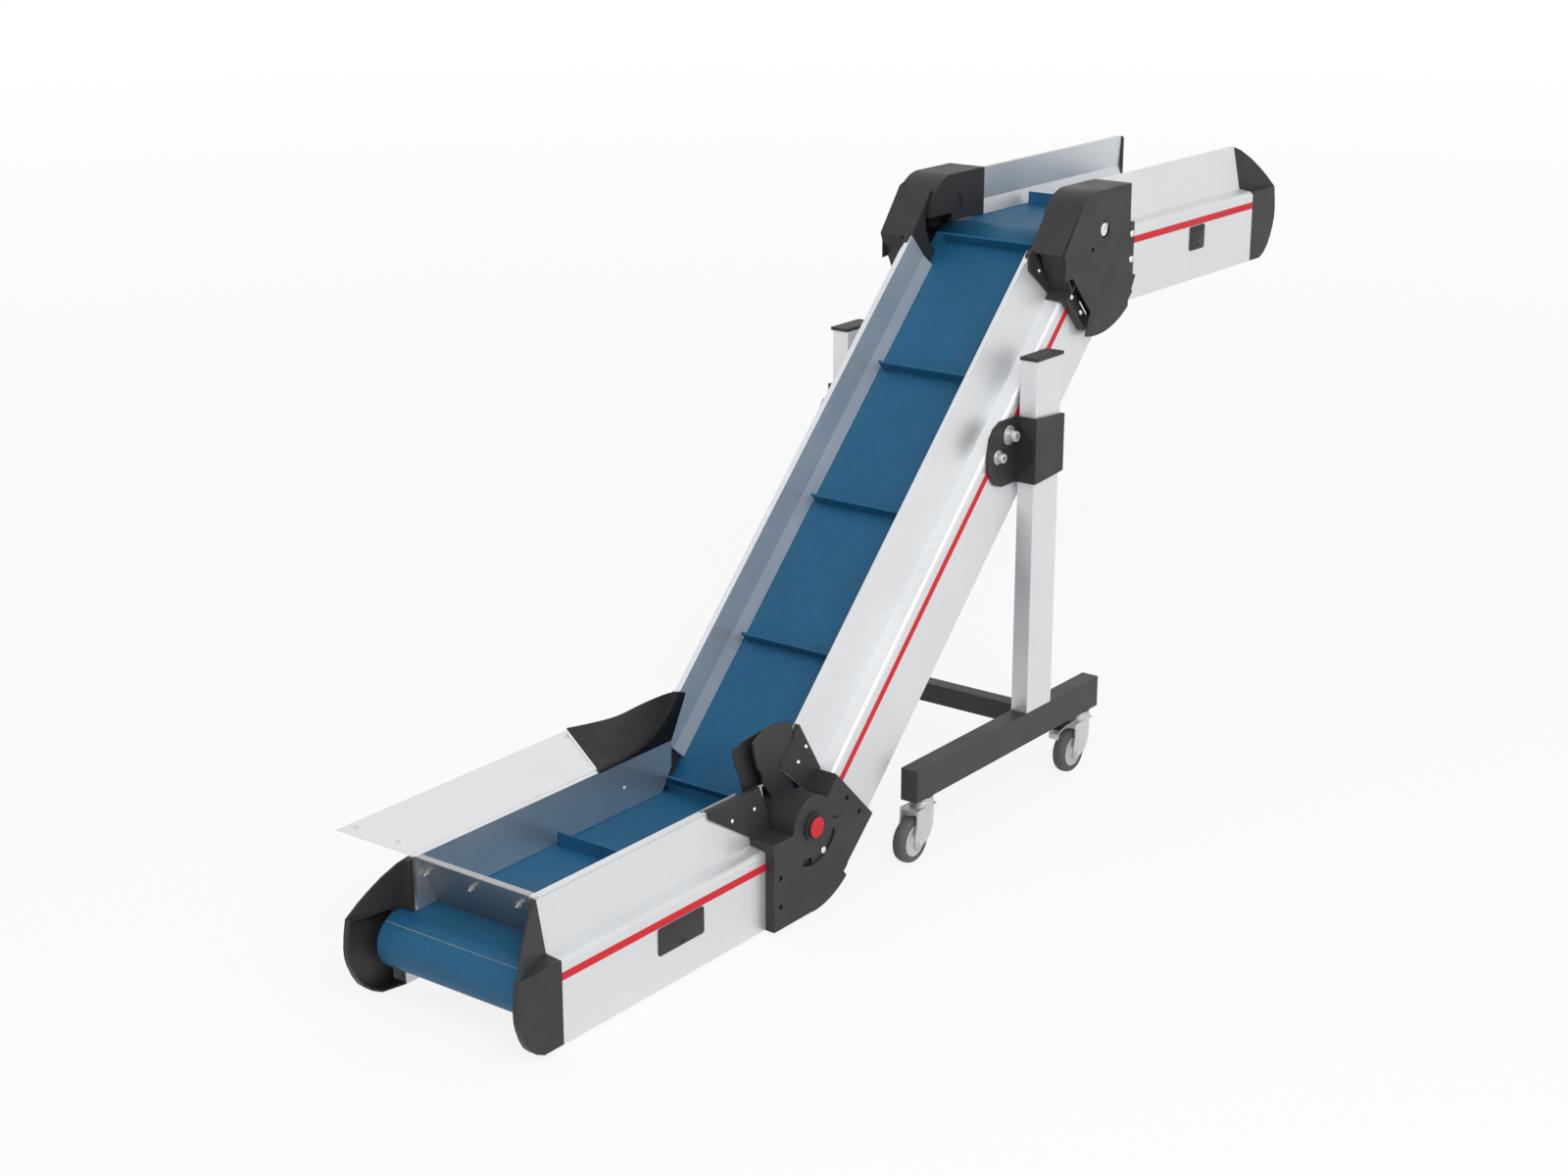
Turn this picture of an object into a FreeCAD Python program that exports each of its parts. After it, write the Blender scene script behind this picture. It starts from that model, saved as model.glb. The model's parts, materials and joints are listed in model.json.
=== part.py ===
import FreeCAD, Part
import os
import re
import Sketcher

# Angle conveyor with a level infeed, a steep incline and a level discharge, carried by a stand
# on four castors. Millimetres; +X runs from infeed to discharge and +Z is up. The origin is on
# the floor under the middle of the machine's outer box.
#
# Each section has a frame of its own: X runs along it, Z is the height above its underside and
# Y = 0 is the belt's middle. The near side is -Y and the far side is +Y. A depth is measured
# inwards from the outer face of a side profile, so what stands outside it has a negative depth.

SIZES = (
    # name, millimetres or degrees
    ("half_width", 175),
    ("infeed_clearance", 7.6),
    ("infeed_length", 644.3),
    ("incline_angle", 45),
    ("rise", 838),
    ("discharge_length", 547.7),
    ("body_height", 134),
    ("body_depth", 30),
    ("ledge_rise", 3),
    ("lean_rise", 82.6),
    ("lean_depth", 46.2),
    ("lean_inner_depth", 55.4),
    ("lean_waist_rise", 24),
    ("lean_waist_depth", 52.5),
    ("profile_wall", 3),
    ("edge_radius", 6),
    ("strip_depth", 59),
    ("strip_gap", 0.8),
    ("belt_drop", 3.5),
    ("belt_thickness", 3),
    ("belt_edge_depth", 33.5),
    ("drum_radius", 41.7),
    ("drum_gap", 0.3),
    ("drum_setback", 14.6),
    ("drum_end_depth", 35.5),
    ("axle_radius", 10),
    ("bed_thickness", 3),
    ("bed_setback", 18),
    ("bed_lip", 6),
    ("return_ledge", 62),
    ("cleat_height", 25),
    ("cleat_thickness", 4),
    ("cleat_edge_depth", 66),
    ("cleat_pitch", 281.5),
    ("cleat_first", 310),
    ("cleat_incline_first", 70),
    ("cleat_discharge_first", 190),
    ("cap_reach", 97),
    ("cap_wall", 3),
    ("cap_inner_depth", 57),
    ("cap_front_depth", 8),
    ("cap_band_width", 8),
    ("cap_wing_thickness", 4),
    ("pivot_rise", 13.5),
    ("low_boss_radius", 52),
    ("boss_wall", 4),
    ("boss_depth", 24.5),
    ("far_boss_depth", 58.8),
    ("pivot_gap", 0.05),
    ("swing_gap", 5),
    ("seat_gap", 0.3),
    ("plate_outer", 17.7),
    ("plate_thickness", 2.5),
    ("plate_gap", 0.5),
    ("inner_plate_thickness", 5.5),
    ("low_disc_radius", 150),
    ("low_plate_back", 103),
    ("low_plate_rise", 15.5),
    ("low_slot_radius", 60),
    ("low_slot_half_width", 7),
    ("low_slot_start_angle", -111),
    ("low_slot_sweep", 82),
    ("knuckle_hole_radius", 4.5),
    ("flap_length", 89),
    ("low_seam_angle", 38),
    ("low_incline_reach", 156),
    ("low_incline_rise", 9),
    ("shell_wall", 3),
    ("flap_thickness", 4),
    ("guard_thickness", 2),
    ("guard_depth", 61.1),
    ("hood_depth", 56.5),
    ("outer_guard_depth", 43),
    ("outer_guard_thickness", 5),
    ("button_radius", 18.5),
    ("button_height", 8),
    ("button_ring_radius", 24),
    ("button_ring_height", 4),
    ("high_disc_radius", 185.5),
    ("high_hood_radius", 70.5),
    ("high_boss_radius", 30),
    ("high_plate_end", 60),
    ("high_cover_end", 44),
    ("high_box_back", 43),
    ("high_box_rise", 11),
    ("high_shoe_reach", 43),
    ("high_shoe_height", 95),
    ("high_wall_spread", 24),
    ("high_window_offset", 18),
    ("high_window_radius", 15),
    ("high_window_depth", 9),
    ("bend_high_radius", 60),
    ("hopper_sheet", 1.5),
    ("hopper_sheet_depth", 59.3),
    ("hopper_far_overlap", 16.8),
    ("hopper_near_setback", 103),
    ("flare_reach", 282.7),
    ("flare_setback", 56.5),
    ("flare_fold_setback", 167.5),
    ("front_plate_foot", 42),
    ("post_gap", 6),
    ("post_depth", 33),
    ("post_width", 80),
    ("post_centre", 1230),
    ("post_top", 804.4),
    ("post_cap_height", 6),
    ("post_cap_overhang", 3),
    ("post_cap_plug", 15),
    ("tube_wall", 3),
    ("beam_start", 847),
    ("beam_length", 590),
    ("beam_height", 57.5),
    ("beam_bottom", 110.4),
    ("cross_width", 32),
    ("cross_height", 36),
    ("bracket_bottom", 590.5),
    ("bracket_height", 116),
    ("bracket_wall", 6),
    ("bracket_fit", 0.5),
    ("tilt_pivot_x", 1159.3),
    ("tilt_pivot_z", 678.2),
    ("tilt_pin_radius", 8),
    ("bracket_taper", 7),
    ("pocket_radius", 278),
    ("pocket_depth", 4.5),
    ("pocket_rise", 55),
    ("pocket_inset", 6.3),
    ("tilt_slot_radius", 47),
    ("tilt_slot_angle", -137),
    ("tilt_bolt_radius", 6),
    ("wheel_radius", 40),
    ("tyre_width", 25),
    ("hub_radius", 28),
    ("hub_width", 29),
    ("wheel_axle_radius", 5),
    ("castor_trail", 32.5),
    ("castor_front", 38),
    ("castor_rear", 38),
    ("fork_inner", 31),
    ("fork_leg", 3),
    ("fork_dome_radius", 23),
    ("fork_dome_height", 14),
    ("fork_top_gap", 0.5),
    ("stem_radius", 6),
    ("stem_length", 12),
    ("cover_thickness", 2),
    ("cover_bottom", 55.5),
    ("cover_height", 45),
    ("cover_notch_radius", 5),
    ("infeed_cover_start", 215),
    ("infeed_cover_length", 108.5),
    ("discharge_cover_start", 300),
    ("discharge_cover_length", 55),
)

# Sizes that follow from the ones above.
LAYOUT = (
    ("lean_top", "body_height + lean_rise"),
    ("lean_waist_height", "body_height + lean_waist_rise"),
    ("belt_level", "body_height - belt_drop"),
    ("pivot_height", "body_height + pivot_rise"),
    ("low_plate_top", "body_height + low_plate_rise"),
    ("low_incline_top", "body_height + low_incline_rise"),
    ("bend_high_x", "infeed_length + rise / tan(incline_angle)"),
    ("incline_run", "rise / sin(incline_angle)"),
    ("discharge_end", "infeed_length + rise / tan(incline_angle) + discharge_length"),
    ("pivot_back", "pivot_height * tan(incline_angle / 2)"),
    ("low_pivot_x", "infeed_length - pivot_height * tan(incline_angle / 2)"),
    ("hopper_far_end", "low_pivot_x + hopper_far_overlap"),
    ("hopper_near_end", "low_pivot_x - hopper_near_setback"),
    ("flare_back", "low_pivot_x - flare_setback"),
    ("flare_fold_back", "low_pivot_x - flare_fold_setback"),
    ("bracket_reach", "half_width + post_gap + post_depth + bracket_wall"),
    ("ledge_height", "body_height + ledge_rise"),
    ("belt_bottom", "belt_level - belt_thickness"),
    ("bed_bottom", "belt_level - belt_thickness - drum_gap - bed_thickness"),
    ("loop_radius", "drum_radius + drum_gap + belt_thickness"),
    ("return_top", "belt_level - 2 * drum_radius - 2 * drum_gap - belt_thickness"),
    ("belt_half", "half_width - belt_edge_depth"),
    ("infeed_side_end", "low_pivot_x - low_boss_radius - 1"),
    ("incline_side_start", "pivot_back + low_boss_radius + swing_gap"),
    ("belt_clear", "belt_level + 2.5"),
    ("plate_inner", "plate_outer - plate_thickness"),
    ("under_plate", "plate_outer - plate_thickness - plate_gap"),
)

ALONG_Y = FreeCAD.Rotation(FreeCAD.Vector(1, 0, 0), -90)
NEAR, FAR = -1, 1
SIDES = (("near", NEAR), ("far", FAR))

doc = FreeCAD.newDocument("AngleConveyor")
sizes = doc.addObject("Spreadsheet::Sheet", "Sizes")
for row, (alias, number) in enumerate(SIZES, start=1):
    sizes.set(f"A{row}", alias)
    sizes.set(f"B{row}", str(number))
    sizes.setAlias(f"B{row}", alias)
doc.recompute()

SIZE_NAMES = {alias for alias, number in SIZES}
LAYOUT_NAMES = {name for name, expression in LAYOUT}


def full(expression):
    """Writes a size's name as the document knows it."""

    def owner(match):
        word = match.group()
        if word in SIZE_NAMES:
            return "Sizes." + word
        if word in LAYOUT_NAMES:
            return "Layout." + word
        return word

    return re.sub(r"[a-z][a-z_]*", owner, str(expression))


layout = doc.addObject("App::VarSet", "Layout")
for name, expression in LAYOUT:
    layout.addProperty("App::PropertyFloat", name)
    layout.setExpression(name, full(expression))
    doc.recompute()
doc.recompute()

# Where each section's frame stands: its start along X, its height and its slope.
FRAMES = {
    "stand": ("0", "0", "0"),
    "infeed": ("0", "infeed_clearance", "0"),
    "incline": ("infeed_length", "infeed_clearance", "incline_angle"),
    "discharge": ("bend_high_x", "infeed_clearance + rise", "0"),
}
MIDDLE_X = "discharge_end / 2"
MIDDLE_Y = "(flare_reach - bracket_reach) / 2"

sub_parts = []


def value(expression):
    return float(sizes.evalExpression(full(expression)))


def bind(item, property_name, expression):
    item.setExpression(property_name, full(expression))


def finished(item, label, frame):
    """Names a sub-part and stands it in its section's frame."""
    x, z, slope = FRAMES[frame]
    item.Label = label
    item.Placement.Rotation = FreeCAD.Rotation(FreeCAD.Vector(0, -1, 0), value(slope) + 0.001)
    bind(item, "Placement.Rotation.Angle", slope)
    bind(item, "Placement.Base.x", f"{x} - {MIDDLE_X}")
    bind(item, "Placement.Base.y", f"-{MIDDLE_Y}")
    bind(item, "Placement.Base.z", z)
    sub_parts.append(item)
    return item


def box(name, x, y, z, length, width, height):
    item = doc.addObject("Part::Box", name)
    for key, expression in (("Length", length), ("Width", width), ("Height", height)):
        bind(item, key, expression)
    for key, expression in (("x", x), ("y", y), ("z", z)):
        bind(item, "Placement.Base." + key, expression)
    return item


def cylinder(name, x, y, z, radius, height, along_y=True):
    item = doc.addObject("Part::Cylinder", name)
    if along_y:
        item.Placement.Rotation = ALONG_Y
    bind(item, "Radius", radius)
    bind(item, "Height", height)
    for key, expression in (("x", x), ("y", y), ("z", z)):
        bind(item, "Placement.Base." + key, expression)
    return item


def low_y(side, outer, inner):
    """The lowest Y of what lies between two depths on one side."""
    if side == NEAR:
        return f"({outer}) - half_width"
    return f"half_width - ({inner})"


def side_box(name, side, x, outer, inner, z, length, height):
    return box(name, x, low_y(side, outer, inner), z, length, f"({inner}) - ({outer})", height)


def side_cylinder(name, side, x, z, radius, outer, inner):
    return cylinder(name, x, low_y(side, outer, inner), z, radius, f"({inner}) - ({outer})")


def outline_body(name, plane, loops, start, length, backwards):
    """A pad of closed outlines; the first loop is the outside and the others are hollow."""
    body = doc.addObject("PartDesign::Body", name)
    sketch = body.newObject("Sketcher::SketchObject", name + "Sketch")
    support = [item for item in body.Origin.OriginFeatures if item.Role == plane][0]
    sketch.AttachmentSupport = [(support, "")]
    sketch.MapMode = "FlatFace"
    for points in loops:
        first = sketch.GeometryCount
        places = [FreeCAD.Vector(value(u), value(w), 0) for u, w in points]
        count = len(points)
        for i in range(count):
            sketch.addGeometry(Part.LineSegment(places[i], places[(i + 1) % count]))
        for i in range(count):
            following = first + (i + 1) % count
            sketch.addConstraint(Sketcher.Constraint("Coincident", first + i, 2, following, 1))
        for i, (u, w) in enumerate(points):
            for kind, number, expression in (
                ("DistanceX", places[i].x, u),
                ("DistanceY", places[i].y, w),
            ):
                index = sketch.addConstraint(Sketcher.Constraint(kind, -1, 1, first + i, 1, number))
                bind(sketch, f"Constraints[{index}]", expression)
    bind(sketch, "AttachmentOffset.Base.z", start)
    pad = body.newObject("PartDesign::Pad", name + "Pad")
    pad.Profile = sketch
    pad.Reversed = backwards
    bind(pad, "Length", length)
    sketch.Visibility = False
    return body


def side_plate(name, side, points, outer, inner):
    """A flat piece seen from the side, between two depths."""
    start = f"-({side}) * (half_width - ({outer}))"
    return outline_body(name, "XZ_Plane", [points], start, f"({inner}) - ({outer})", side == NEAR)


def section_bar(name, side, loops, start, length):
    """A bar of constant section along X; its outline is given as depth and height."""
    turned = [[(f"{side} * (half_width - ({d}))", v) for d, v in loop] for loop in loops]
    return outline_body(name, "YZ_Plane", turned, start, length, False)


def fuse(name, items):
    item = doc.addObject("Part::MultiFuse", name)
    item.Shapes = items
    return item


def common(name, items):
    item = doc.addObject("Part::MultiCommon", name)
    item.Shapes = items
    return item


def cut(name, base, tool):
    item = doc.addObject("Part::Cut", name)
    item.Base = base
    item.Tool = tool
    return item


# Side profiles: a closed body below and a leaning wall above, with a strip over the belt's edge
# and a ledge under its return run.
PROFILE = (
    # depth, height
    ("0", "0"),
    ("0", "body_height - edge_radius"),
    ("edge_radius / 3", "body_height - edge_radius / 3"),
    ("edge_radius", "body_height"),
    ("body_depth", "ledge_height"),
    ("lean_depth", "lean_top"),
    ("lean_inner_depth", "lean_top"),
    ("lean_waist_depth", "lean_waist_height"),
    ("strip_depth", "belt_level + strip_gap"),
    ("body_depth", "belt_level + strip_gap"),
    ("body_depth", "return_top - belt_thickness - drum_gap"),
    ("return_ledge", "return_top - belt_thickness - drum_gap"),
    ("return_ledge", "return_top - belt_thickness - drum_gap - profile_wall"),
    ("body_depth", "return_top - belt_thickness - drum_gap - profile_wall"),
    ("body_depth", "0"),
)
LOWER_CHAMBER = (
    ("profile_wall", "profile_wall"),
    ("profile_wall", "body_height - edge_radius"),
    ("edge_radius", "body_height - profile_wall"),
    ("body_depth - profile_wall", "body_height - profile_wall"),
    ("body_depth - profile_wall", "profile_wall"),
)
UPPER_CHAMBER = (
    ("body_depth + profile_wall", "belt_level + strip_gap + profile_wall"),
    ("body_depth + profile_wall", "ledge_height"),
    ("lean_depth + profile_wall", "lean_top - profile_wall"),
    ("lean_inner_depth - profile_wall", "lean_top - profile_wall"),
    ("lean_waist_depth - profile_wall", "lean_waist_height"),
    ("strip_depth - profile_wall", "belt_level + strip_gap + profile_wall"),
)


def side_profile(name, side, start, end):
    loops = [PROFILE, LOWER_CHAMBER, UPPER_CHAMBER]
    return section_bar(name, side, loops, start, f"({end}) - ({start})")


DISCHARGE_SIDE_START = "high_cover_end + drum_gap"
INCLINE_SIDE_END = "incline_run - high_box_back - drum_gap"
TILT_X = "(tilt_pivot_x - infeed_length)"
TILT_Z = "(tilt_pivot_z - infeed_clearance)"
TILT_ALONG = f"({TILT_X} * cos(incline_angle) + {TILT_Z} * sin(incline_angle))"
TILT_UP = f"({TILT_Z} * cos(incline_angle) - {TILT_X} * sin(incline_angle))"

for place, side in SIDES:
    bar = side_profile(f"InfeedSide{place}", side, "0", "infeed_side_end")
    finished(bar, f"side_infeed_{place}", "infeed")
    bar = side_profile(f"InclineBar{place}", side, "incline_side_start", INCLINE_SIDE_END)
    bore = side_cylinder(
        f"TiltBore{place}", side, TILT_ALONG, TILT_UP, "tilt_pin_radius + pivot_gap", "-1", "body_depth + 1"
    )
    finished(cut(f"InclineSide{place}", bar, bore), f"side_incline_{place}", "incline")
    bar = side_profile(f"DischargeSide{place}", side, DISCHARGE_SIDE_START, "discharge_length")
    finished(bar, f"side_discharge_{place}", "discharge")


# Slider beds under the carrying run.
BEDS = (
    # section, start, end
    ("infeed", "bed_setback", "low_pivot_x - profile_wall"),
    ("incline", "incline_side_start", "incline_run + belt_level * tan(incline_angle / 2) - bend_high_radius"),
    ("discharge", "0", "discharge_length - bed_setback"),
)
for section, start, end in BEDS:
    plate = box(
        f"BedPlate{section}",
        start,
        "body_depth - half_width",
        "bed_bottom",
        f"{end} - ({start})",
        "2 * (half_width - body_depth)",
        "bed_thickness",
    )
    lips = [
        box(
            f"BedLip{section}{mark}",
            x,
            "body_depth - half_width",
            "bed_bottom - bed_lip",
            "bed_thickness",
            "2 * (half_width - body_depth)",
            "bed_lip",
        )
        for mark, x in (("Start", start), ("End", f"{end} - bed_thickness"))
    ]
    finished(fuse(f"Bed{section}", [plate] + lips), f"bed_{section}", section)


def slab(name, start, end, bottom):
    """One straight run of belt."""
    return box(
        name, start, "-belt_half", bottom, f"({end}) - ({start})", "2 * belt_half", "belt_thickness"
    )


def cleat(name, x, bottom):
    return box(
        name,
        f"({x}) - cleat_thickness / 2",
        "cleat_edge_depth - half_width",
        bottom,
        "cleat_thickness",
        "2 * (half_width - cleat_edge_depth)",
        "cleat_height",
    )


def cleat_row(name, first, last):
    """Cleats on the carrying run and, a fifth of a pitch on, under the return run."""
    row = []
    room = value(f"({last}) - {first} - cleat_pitch / 5 - cleat_height")
    for i in range(1 + int(room // value("cleat_pitch"))):
        x = f"{first} + {i} * cleat_pitch"
        row.append(cleat(f"{name}Up{i}", x, "belt_level - belt_thickness / 2"))
        below = "return_top - belt_thickness / 2 - cleat_height"
        row.append(cleat(f"{name}Down{i}", f"{x} + cleat_pitch / 5", below))
    return row


def loop_end(name, centre, open_end):
    """The belt round a drum, joined to both runs."""
    middle = "belt_level - loop_radius"
    outside = cylinder(name + "Outside", centre, "-belt_half", middle, "loop_radius", "2 * belt_half")
    inside = cylinder(
        name + "Inside", centre, "-belt_half - 1", middle, "loop_radius - belt_thickness", "2 * belt_half + 2"
    )
    low = f"min({centre}; {open_end})"
    runs = box(
        name + "Runs",
        low,
        "-belt_half",
        f"{middle} - loop_radius",
        f"abs(({open_end}) - ({centre}))",
        "2 * belt_half",
        "2 * loop_radius",
    )
    between = box(
        name + "Between",
        f"{low} - (({centre}) > ({open_end}) ? 1 : 0)",
        "-belt_half - 1",
        f"{middle} - loop_radius + belt_thickness",
        f"abs(({open_end}) - ({centre})) + 1",
        "2 * belt_half + 2",
        "2 * (loop_radius - belt_thickness)",
    )
    return cut(name, fuse(name + "Whole", [outside, runs]), fuse(name + "Hollow", [inside, between]))


HIGH_TANGENT = "bend_high_radius * tan(incline_angle / 2)"
HIGH_TOP = f"(belt_level * tan(incline_angle / 2) - {HIGH_TANGENT})"
HIGH_RETURN = f"(return_top * tan(incline_angle / 2) - {HIGH_TANGENT})"
TAIL_CENTRE = "-drum_setback"
HEAD_CENTRE = "discharge_length + drum_setback"

tail_loop = loop_end("TailLoop", TAIL_CENTRE, "low_pivot_x")
pieces = [tail_loop] + cleat_row("InfeedCleat", "cleat_first", "low_pivot_x")
finished(fuse("InfeedBelt", pieces), "belt_infeed", "infeed")

pieces = [
    slab("InclineTop", "pivot_back", f"incline_run + {HIGH_TOP}", "belt_bottom"),
    slab("InclineReturn", "pivot_back", f"incline_run + {HIGH_RETURN}", "return_top - belt_thickness"),
]
pieces += cleat_row("InclineCleat", "cleat_incline_first", "incline_run")
finished(fuse("InclineBelt", pieces), "belt_incline", "incline")

head_runs = slab("DischargeTop", f"-{HIGH_TOP}", HEAD_CENTRE, "belt_bottom")
head_loop = loop_end("HeadLoop", HEAD_CENTRE, "bend_high_radius")
head_return = slab("DischargeReturn", f"-{HIGH_RETURN}", HEAD_CENTRE, "return_top - belt_thickness")
pieces = [head_runs, head_return, head_loop]
pieces += cleat_row("DischargeCleat", "cleat_discharge_first", "discharge_length")
finished(fuse("DischargeBelt", pieces), "belt_discharge", "discharge")


def bend(name, x, z, radius, start, wedge):
    """A piece of belt round a centre: a ring trimmed to a wedge of the incline's angle."""
    outside = cylinder(name + "Outside", x, "-belt_half", z, radius, "2 * belt_half")
    inside = cylinder(
        name + "Inside", x, "-belt_half - 1", z, f"({radius}) - belt_thickness", "2 * belt_half + 2"
    )
    ring = cut(name + "Ring", outside, inside)
    mask = outline_body(name + "Mask", "XZ_Plane", [wedge], start, "2 * half_width", False)
    return common(name, [ring, mask])


LOW_TOP_REACH = "pivot_height - belt_bottom"
LOW_RETURN_REACH = "pivot_height - return_top + belt_thickness"
low_bends = []
for label, radius in (("Top", LOW_TOP_REACH), ("Return", LOW_RETURN_REACH)):
    far_reach = f"2 * ({radius})"
    wedge = (
        ("low_pivot_x", "pivot_height"),
        ("low_pivot_x", f"pivot_height - {far_reach}"),
        (f"low_pivot_x + {far_reach} * tan(incline_angle)", f"pivot_height - {far_reach}"),
    )
    low_bends.append(
        bend(f"LowBend{label}", "low_pivot_x", "pivot_height", radius, "-half_width", wedge)
    )
finished(fuse("LowBends", low_bends), "belt_bend_low", "infeed")

high_bends = []
for label, level, start in (("Top", "belt_level", HIGH_TOP), ("Return", "return_top", HIGH_RETURN)):
    x = f"-{start}"
    z = f"{level} - bend_high_radius"
    far_reach = "2 * bend_high_radius"
    wedge = (
        (x, z),
        (x, f"{z} + {far_reach}"),
        (f"{x} - {far_reach} * tan(incline_angle)", f"{z} + {far_reach}"),
    )
    high_bends.append(bend(f"HighBend{label}", x, z, "bend_high_radius", "-half_width", wedge))
finished(fuse("HighBends", high_bends), "belt_bend_high", "discharge")


# Drums, each with its axle let into the end caps.
for name, section, centre in (("tail_drum", "infeed", TAIL_CENTRE), ("head_drum", "discharge", HEAD_CENTRE)):
    middle = "belt_level - loop_radius"
    shell = cylinder(
        name + "_shell", centre, "drum_end_depth - half_width", middle, "drum_radius",
        "2 * (half_width - drum_end_depth)",
    )
    axle = cylinder(
        name + "_axle", centre, "cap_wall - half_width", middle, "axle_radius", "2 * (half_width - cap_wall)"
    )
    finished(fuse(name + "_whole", [shell, axle]), name, section)


# End caps: a rounded side outline that keeps to the profile's outer form, open towards the belt.
CAP_OUTLINE = (
    # share of the reach, share of the profile's full height
    (0, 1),
    (0.175, 0.965),
    (0.41, 0.886),
    (0.62, 0.794),
    (0.77, 0.716),
    (0.876, 0.651),
    (0.93, 0.6187),
    (0.98, 0.499),
    (1, 0.406),
    (0.99, 0.33),
    (0.95, 0.268),
    (0.86, 0.175),
    (0.75, 0.097),
    (0.6, 0.036),
    (0.43, 0),
    (0, 0),
)
CAP_BODY = CAP_OUTLINE[6:]
CAP_BAND = (
    # depth, height
    ("body_depth", "ledge_height"),
    ("lean_depth", "lean_top"),
    ("cap_inner_depth", "lean_top"),
    ("cap_inner_depth", "body_height - 2"),
    ("body_depth - 2", "body_height - 2"),
)
CAP_WING = (
    # depth, height
    ("body_depth", "body_height - 2"),
    ("lean_depth", "lean_top"),
    ("lean_depth + cap_wing_thickness", "lean_top"),
    ("body_depth + cap_wing_thickness", "body_height - 2"),
)


def end_cap(name, side, edge, way):
    """A hollow box over the profile's end with a wing that comes outwards to its front."""
    outline = [
        (f"{edge} + {way} * {share} * cap_reach", f"{height} * lean_top") for share, height in CAP_OUTLINE
    ]
    shrink = "(1 - 2 * cap_wall / body_height)"
    inner = [
        (
            f"{edge} + {way} * {share} * (cap_reach - cap_wall)",
            f"body_height / 2 + ({height} * lean_top - body_height / 2) * {shrink}",
        )
        for share, height in CAP_BODY
    ]
    inner.append((f"{edge}", "body_height - cap_wall"))
    block = side_plate(name + "Block", side, outline[6:] + [(edge, "body_height")], "0", "body_depth")
    tip = f"{edge} + {way} * cap_reach"
    plan = [(x, f"{side} * (half_width - ({d}))") for x, d in (
        (edge, "-1"), (edge, "body_depth"), (tip, "cap_front_depth"), (tip, "-1"),
    )]
    slant = outline_body(name + "Slant", "XY_Plane", [plan], "-1", "lean_top", False)
    block = common(name + "Trimmed", [block, slant])
    hollow = side_plate(name + "Hollow", side, inner, "cap_wall", "body_depth + 1")
    slanted = section_bar(name + "Slanted", side, [CAP_WING], edge, "cap_reach")
    pad = slanted.Group[-1]
    pad.UseCustomVector = True
    pad.AlongSketchNormal = True
    pad.Direction = FreeCAD.Vector(way, side * value("body_depth / (0.93 * cap_reach)"), 0)
    upper = side_plate(name + "Upper", side, outline, "0", "cap_inner_depth")
    wing = common(name + "Wing", [upper, slanted])
    start = edge if way > 0 else f"{edge} - cap_band_width"
    strip = section_bar(name + "Strip", side, [CAP_BAND], start, "cap_band_width")
    band = common(name + "Band", [strip, upper])
    return fuse(name, [cut(name + "Box", block, hollow), wing, band])


for place, side in SIDES:
    finished(end_cap(f"TailCap{place}", side, "0", -1), f"tail_cap_{place}", "infeed")
    cap = end_cap(f"HeadCap{place}", side, "discharge_length", 1)
    finished(cap, f"head_cap_{place}", "discharge")


# Flaps that lie on the leaning wall and fold over its top.
FLAP_BAND = (
    # depth, height
    ("body_depth - seat_gap", "ledge_height"),
    ("lean_depth - seat_gap", "lean_top + seat_gap"),
    ("hood_depth - swing_gap", "lean_top + seat_gap"),
    ("hood_depth - swing_gap", "lean_top + flap_thickness"),
    ("lean_depth - flap_thickness", "lean_top + flap_thickness"),
    ("body_depth - flap_thickness", "ledge_height"),
)


def flap(name, side, points, start, length):
    outline = side_plate(name + "Outline", side, points, "0", "strip_depth")
    band = section_bar(name + "Band", side, [FLAP_BAND], start, length)
    return common(name, [outline, band])


# Lower knuckles: the infeed's half is a disc with a boss, and the incline's half turns on it.
PLATE = "-plate_outer"
PLATE_BACK = "-plate_inner"
UNDER = "-under_plate"
UNDER_BACK = "inner_plate_thickness - under_plate"
SEAM = "tan(low_seam_angle)"


OUTSIDE = "-plate_outer - 1"


def holes(name, side, places, inner):
    """Screw holes through a knuckle's plate."""
    return [
        side_cylinder(f"{name}Hole{i}", side, x, z, "knuckle_hole_radius", OUTSIDE, inner)
        for i, (x, z) in enumerate(places)
    ]


def arc_slot(name, side, px, inner):
    """A curved slot about the pivot, with round ends."""
    wide = side_cylinder(
        name + "Wide", side, px, "pivot_height", "low_slot_radius + low_slot_half_width", OUTSIDE, inner
    )
    narrow = side_cylinder(
        name + "Narrow", side, px, "pivot_height", "low_slot_radius - low_slot_half_width", OUTSIDE, inner
    )
    corners = [(px, "pivot_height")]
    turns = [f"(low_slot_start_angle + {share} * low_slot_sweep)" for share in (0, 0.25, 0.5, 0.75, 1)]
    for turn in turns:
        x = f"{px} + 2 * low_slot_radius * cos({turn})"
        corners.append((x, f"pivot_height + 2 * low_slot_radius * sin({turn})"))
    wedge = side_plate(name + "Wedge", side, corners, OUTSIDE, inner)
    ends = [
        side_cylinder(
            f"{name}End{i}", side, f"{px} + low_slot_radius * cos({turn})",
            f"pivot_height + low_slot_radius * sin({turn})", "low_slot_half_width", OUTSIDE, inner,
        )
        for i, turn in enumerate((turns[0], turns[-1]))
    ]
    return fuse(name, [common(name + "Arc", [cut(name + "Ring", wide, narrow), wedge])] + ends)


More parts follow.
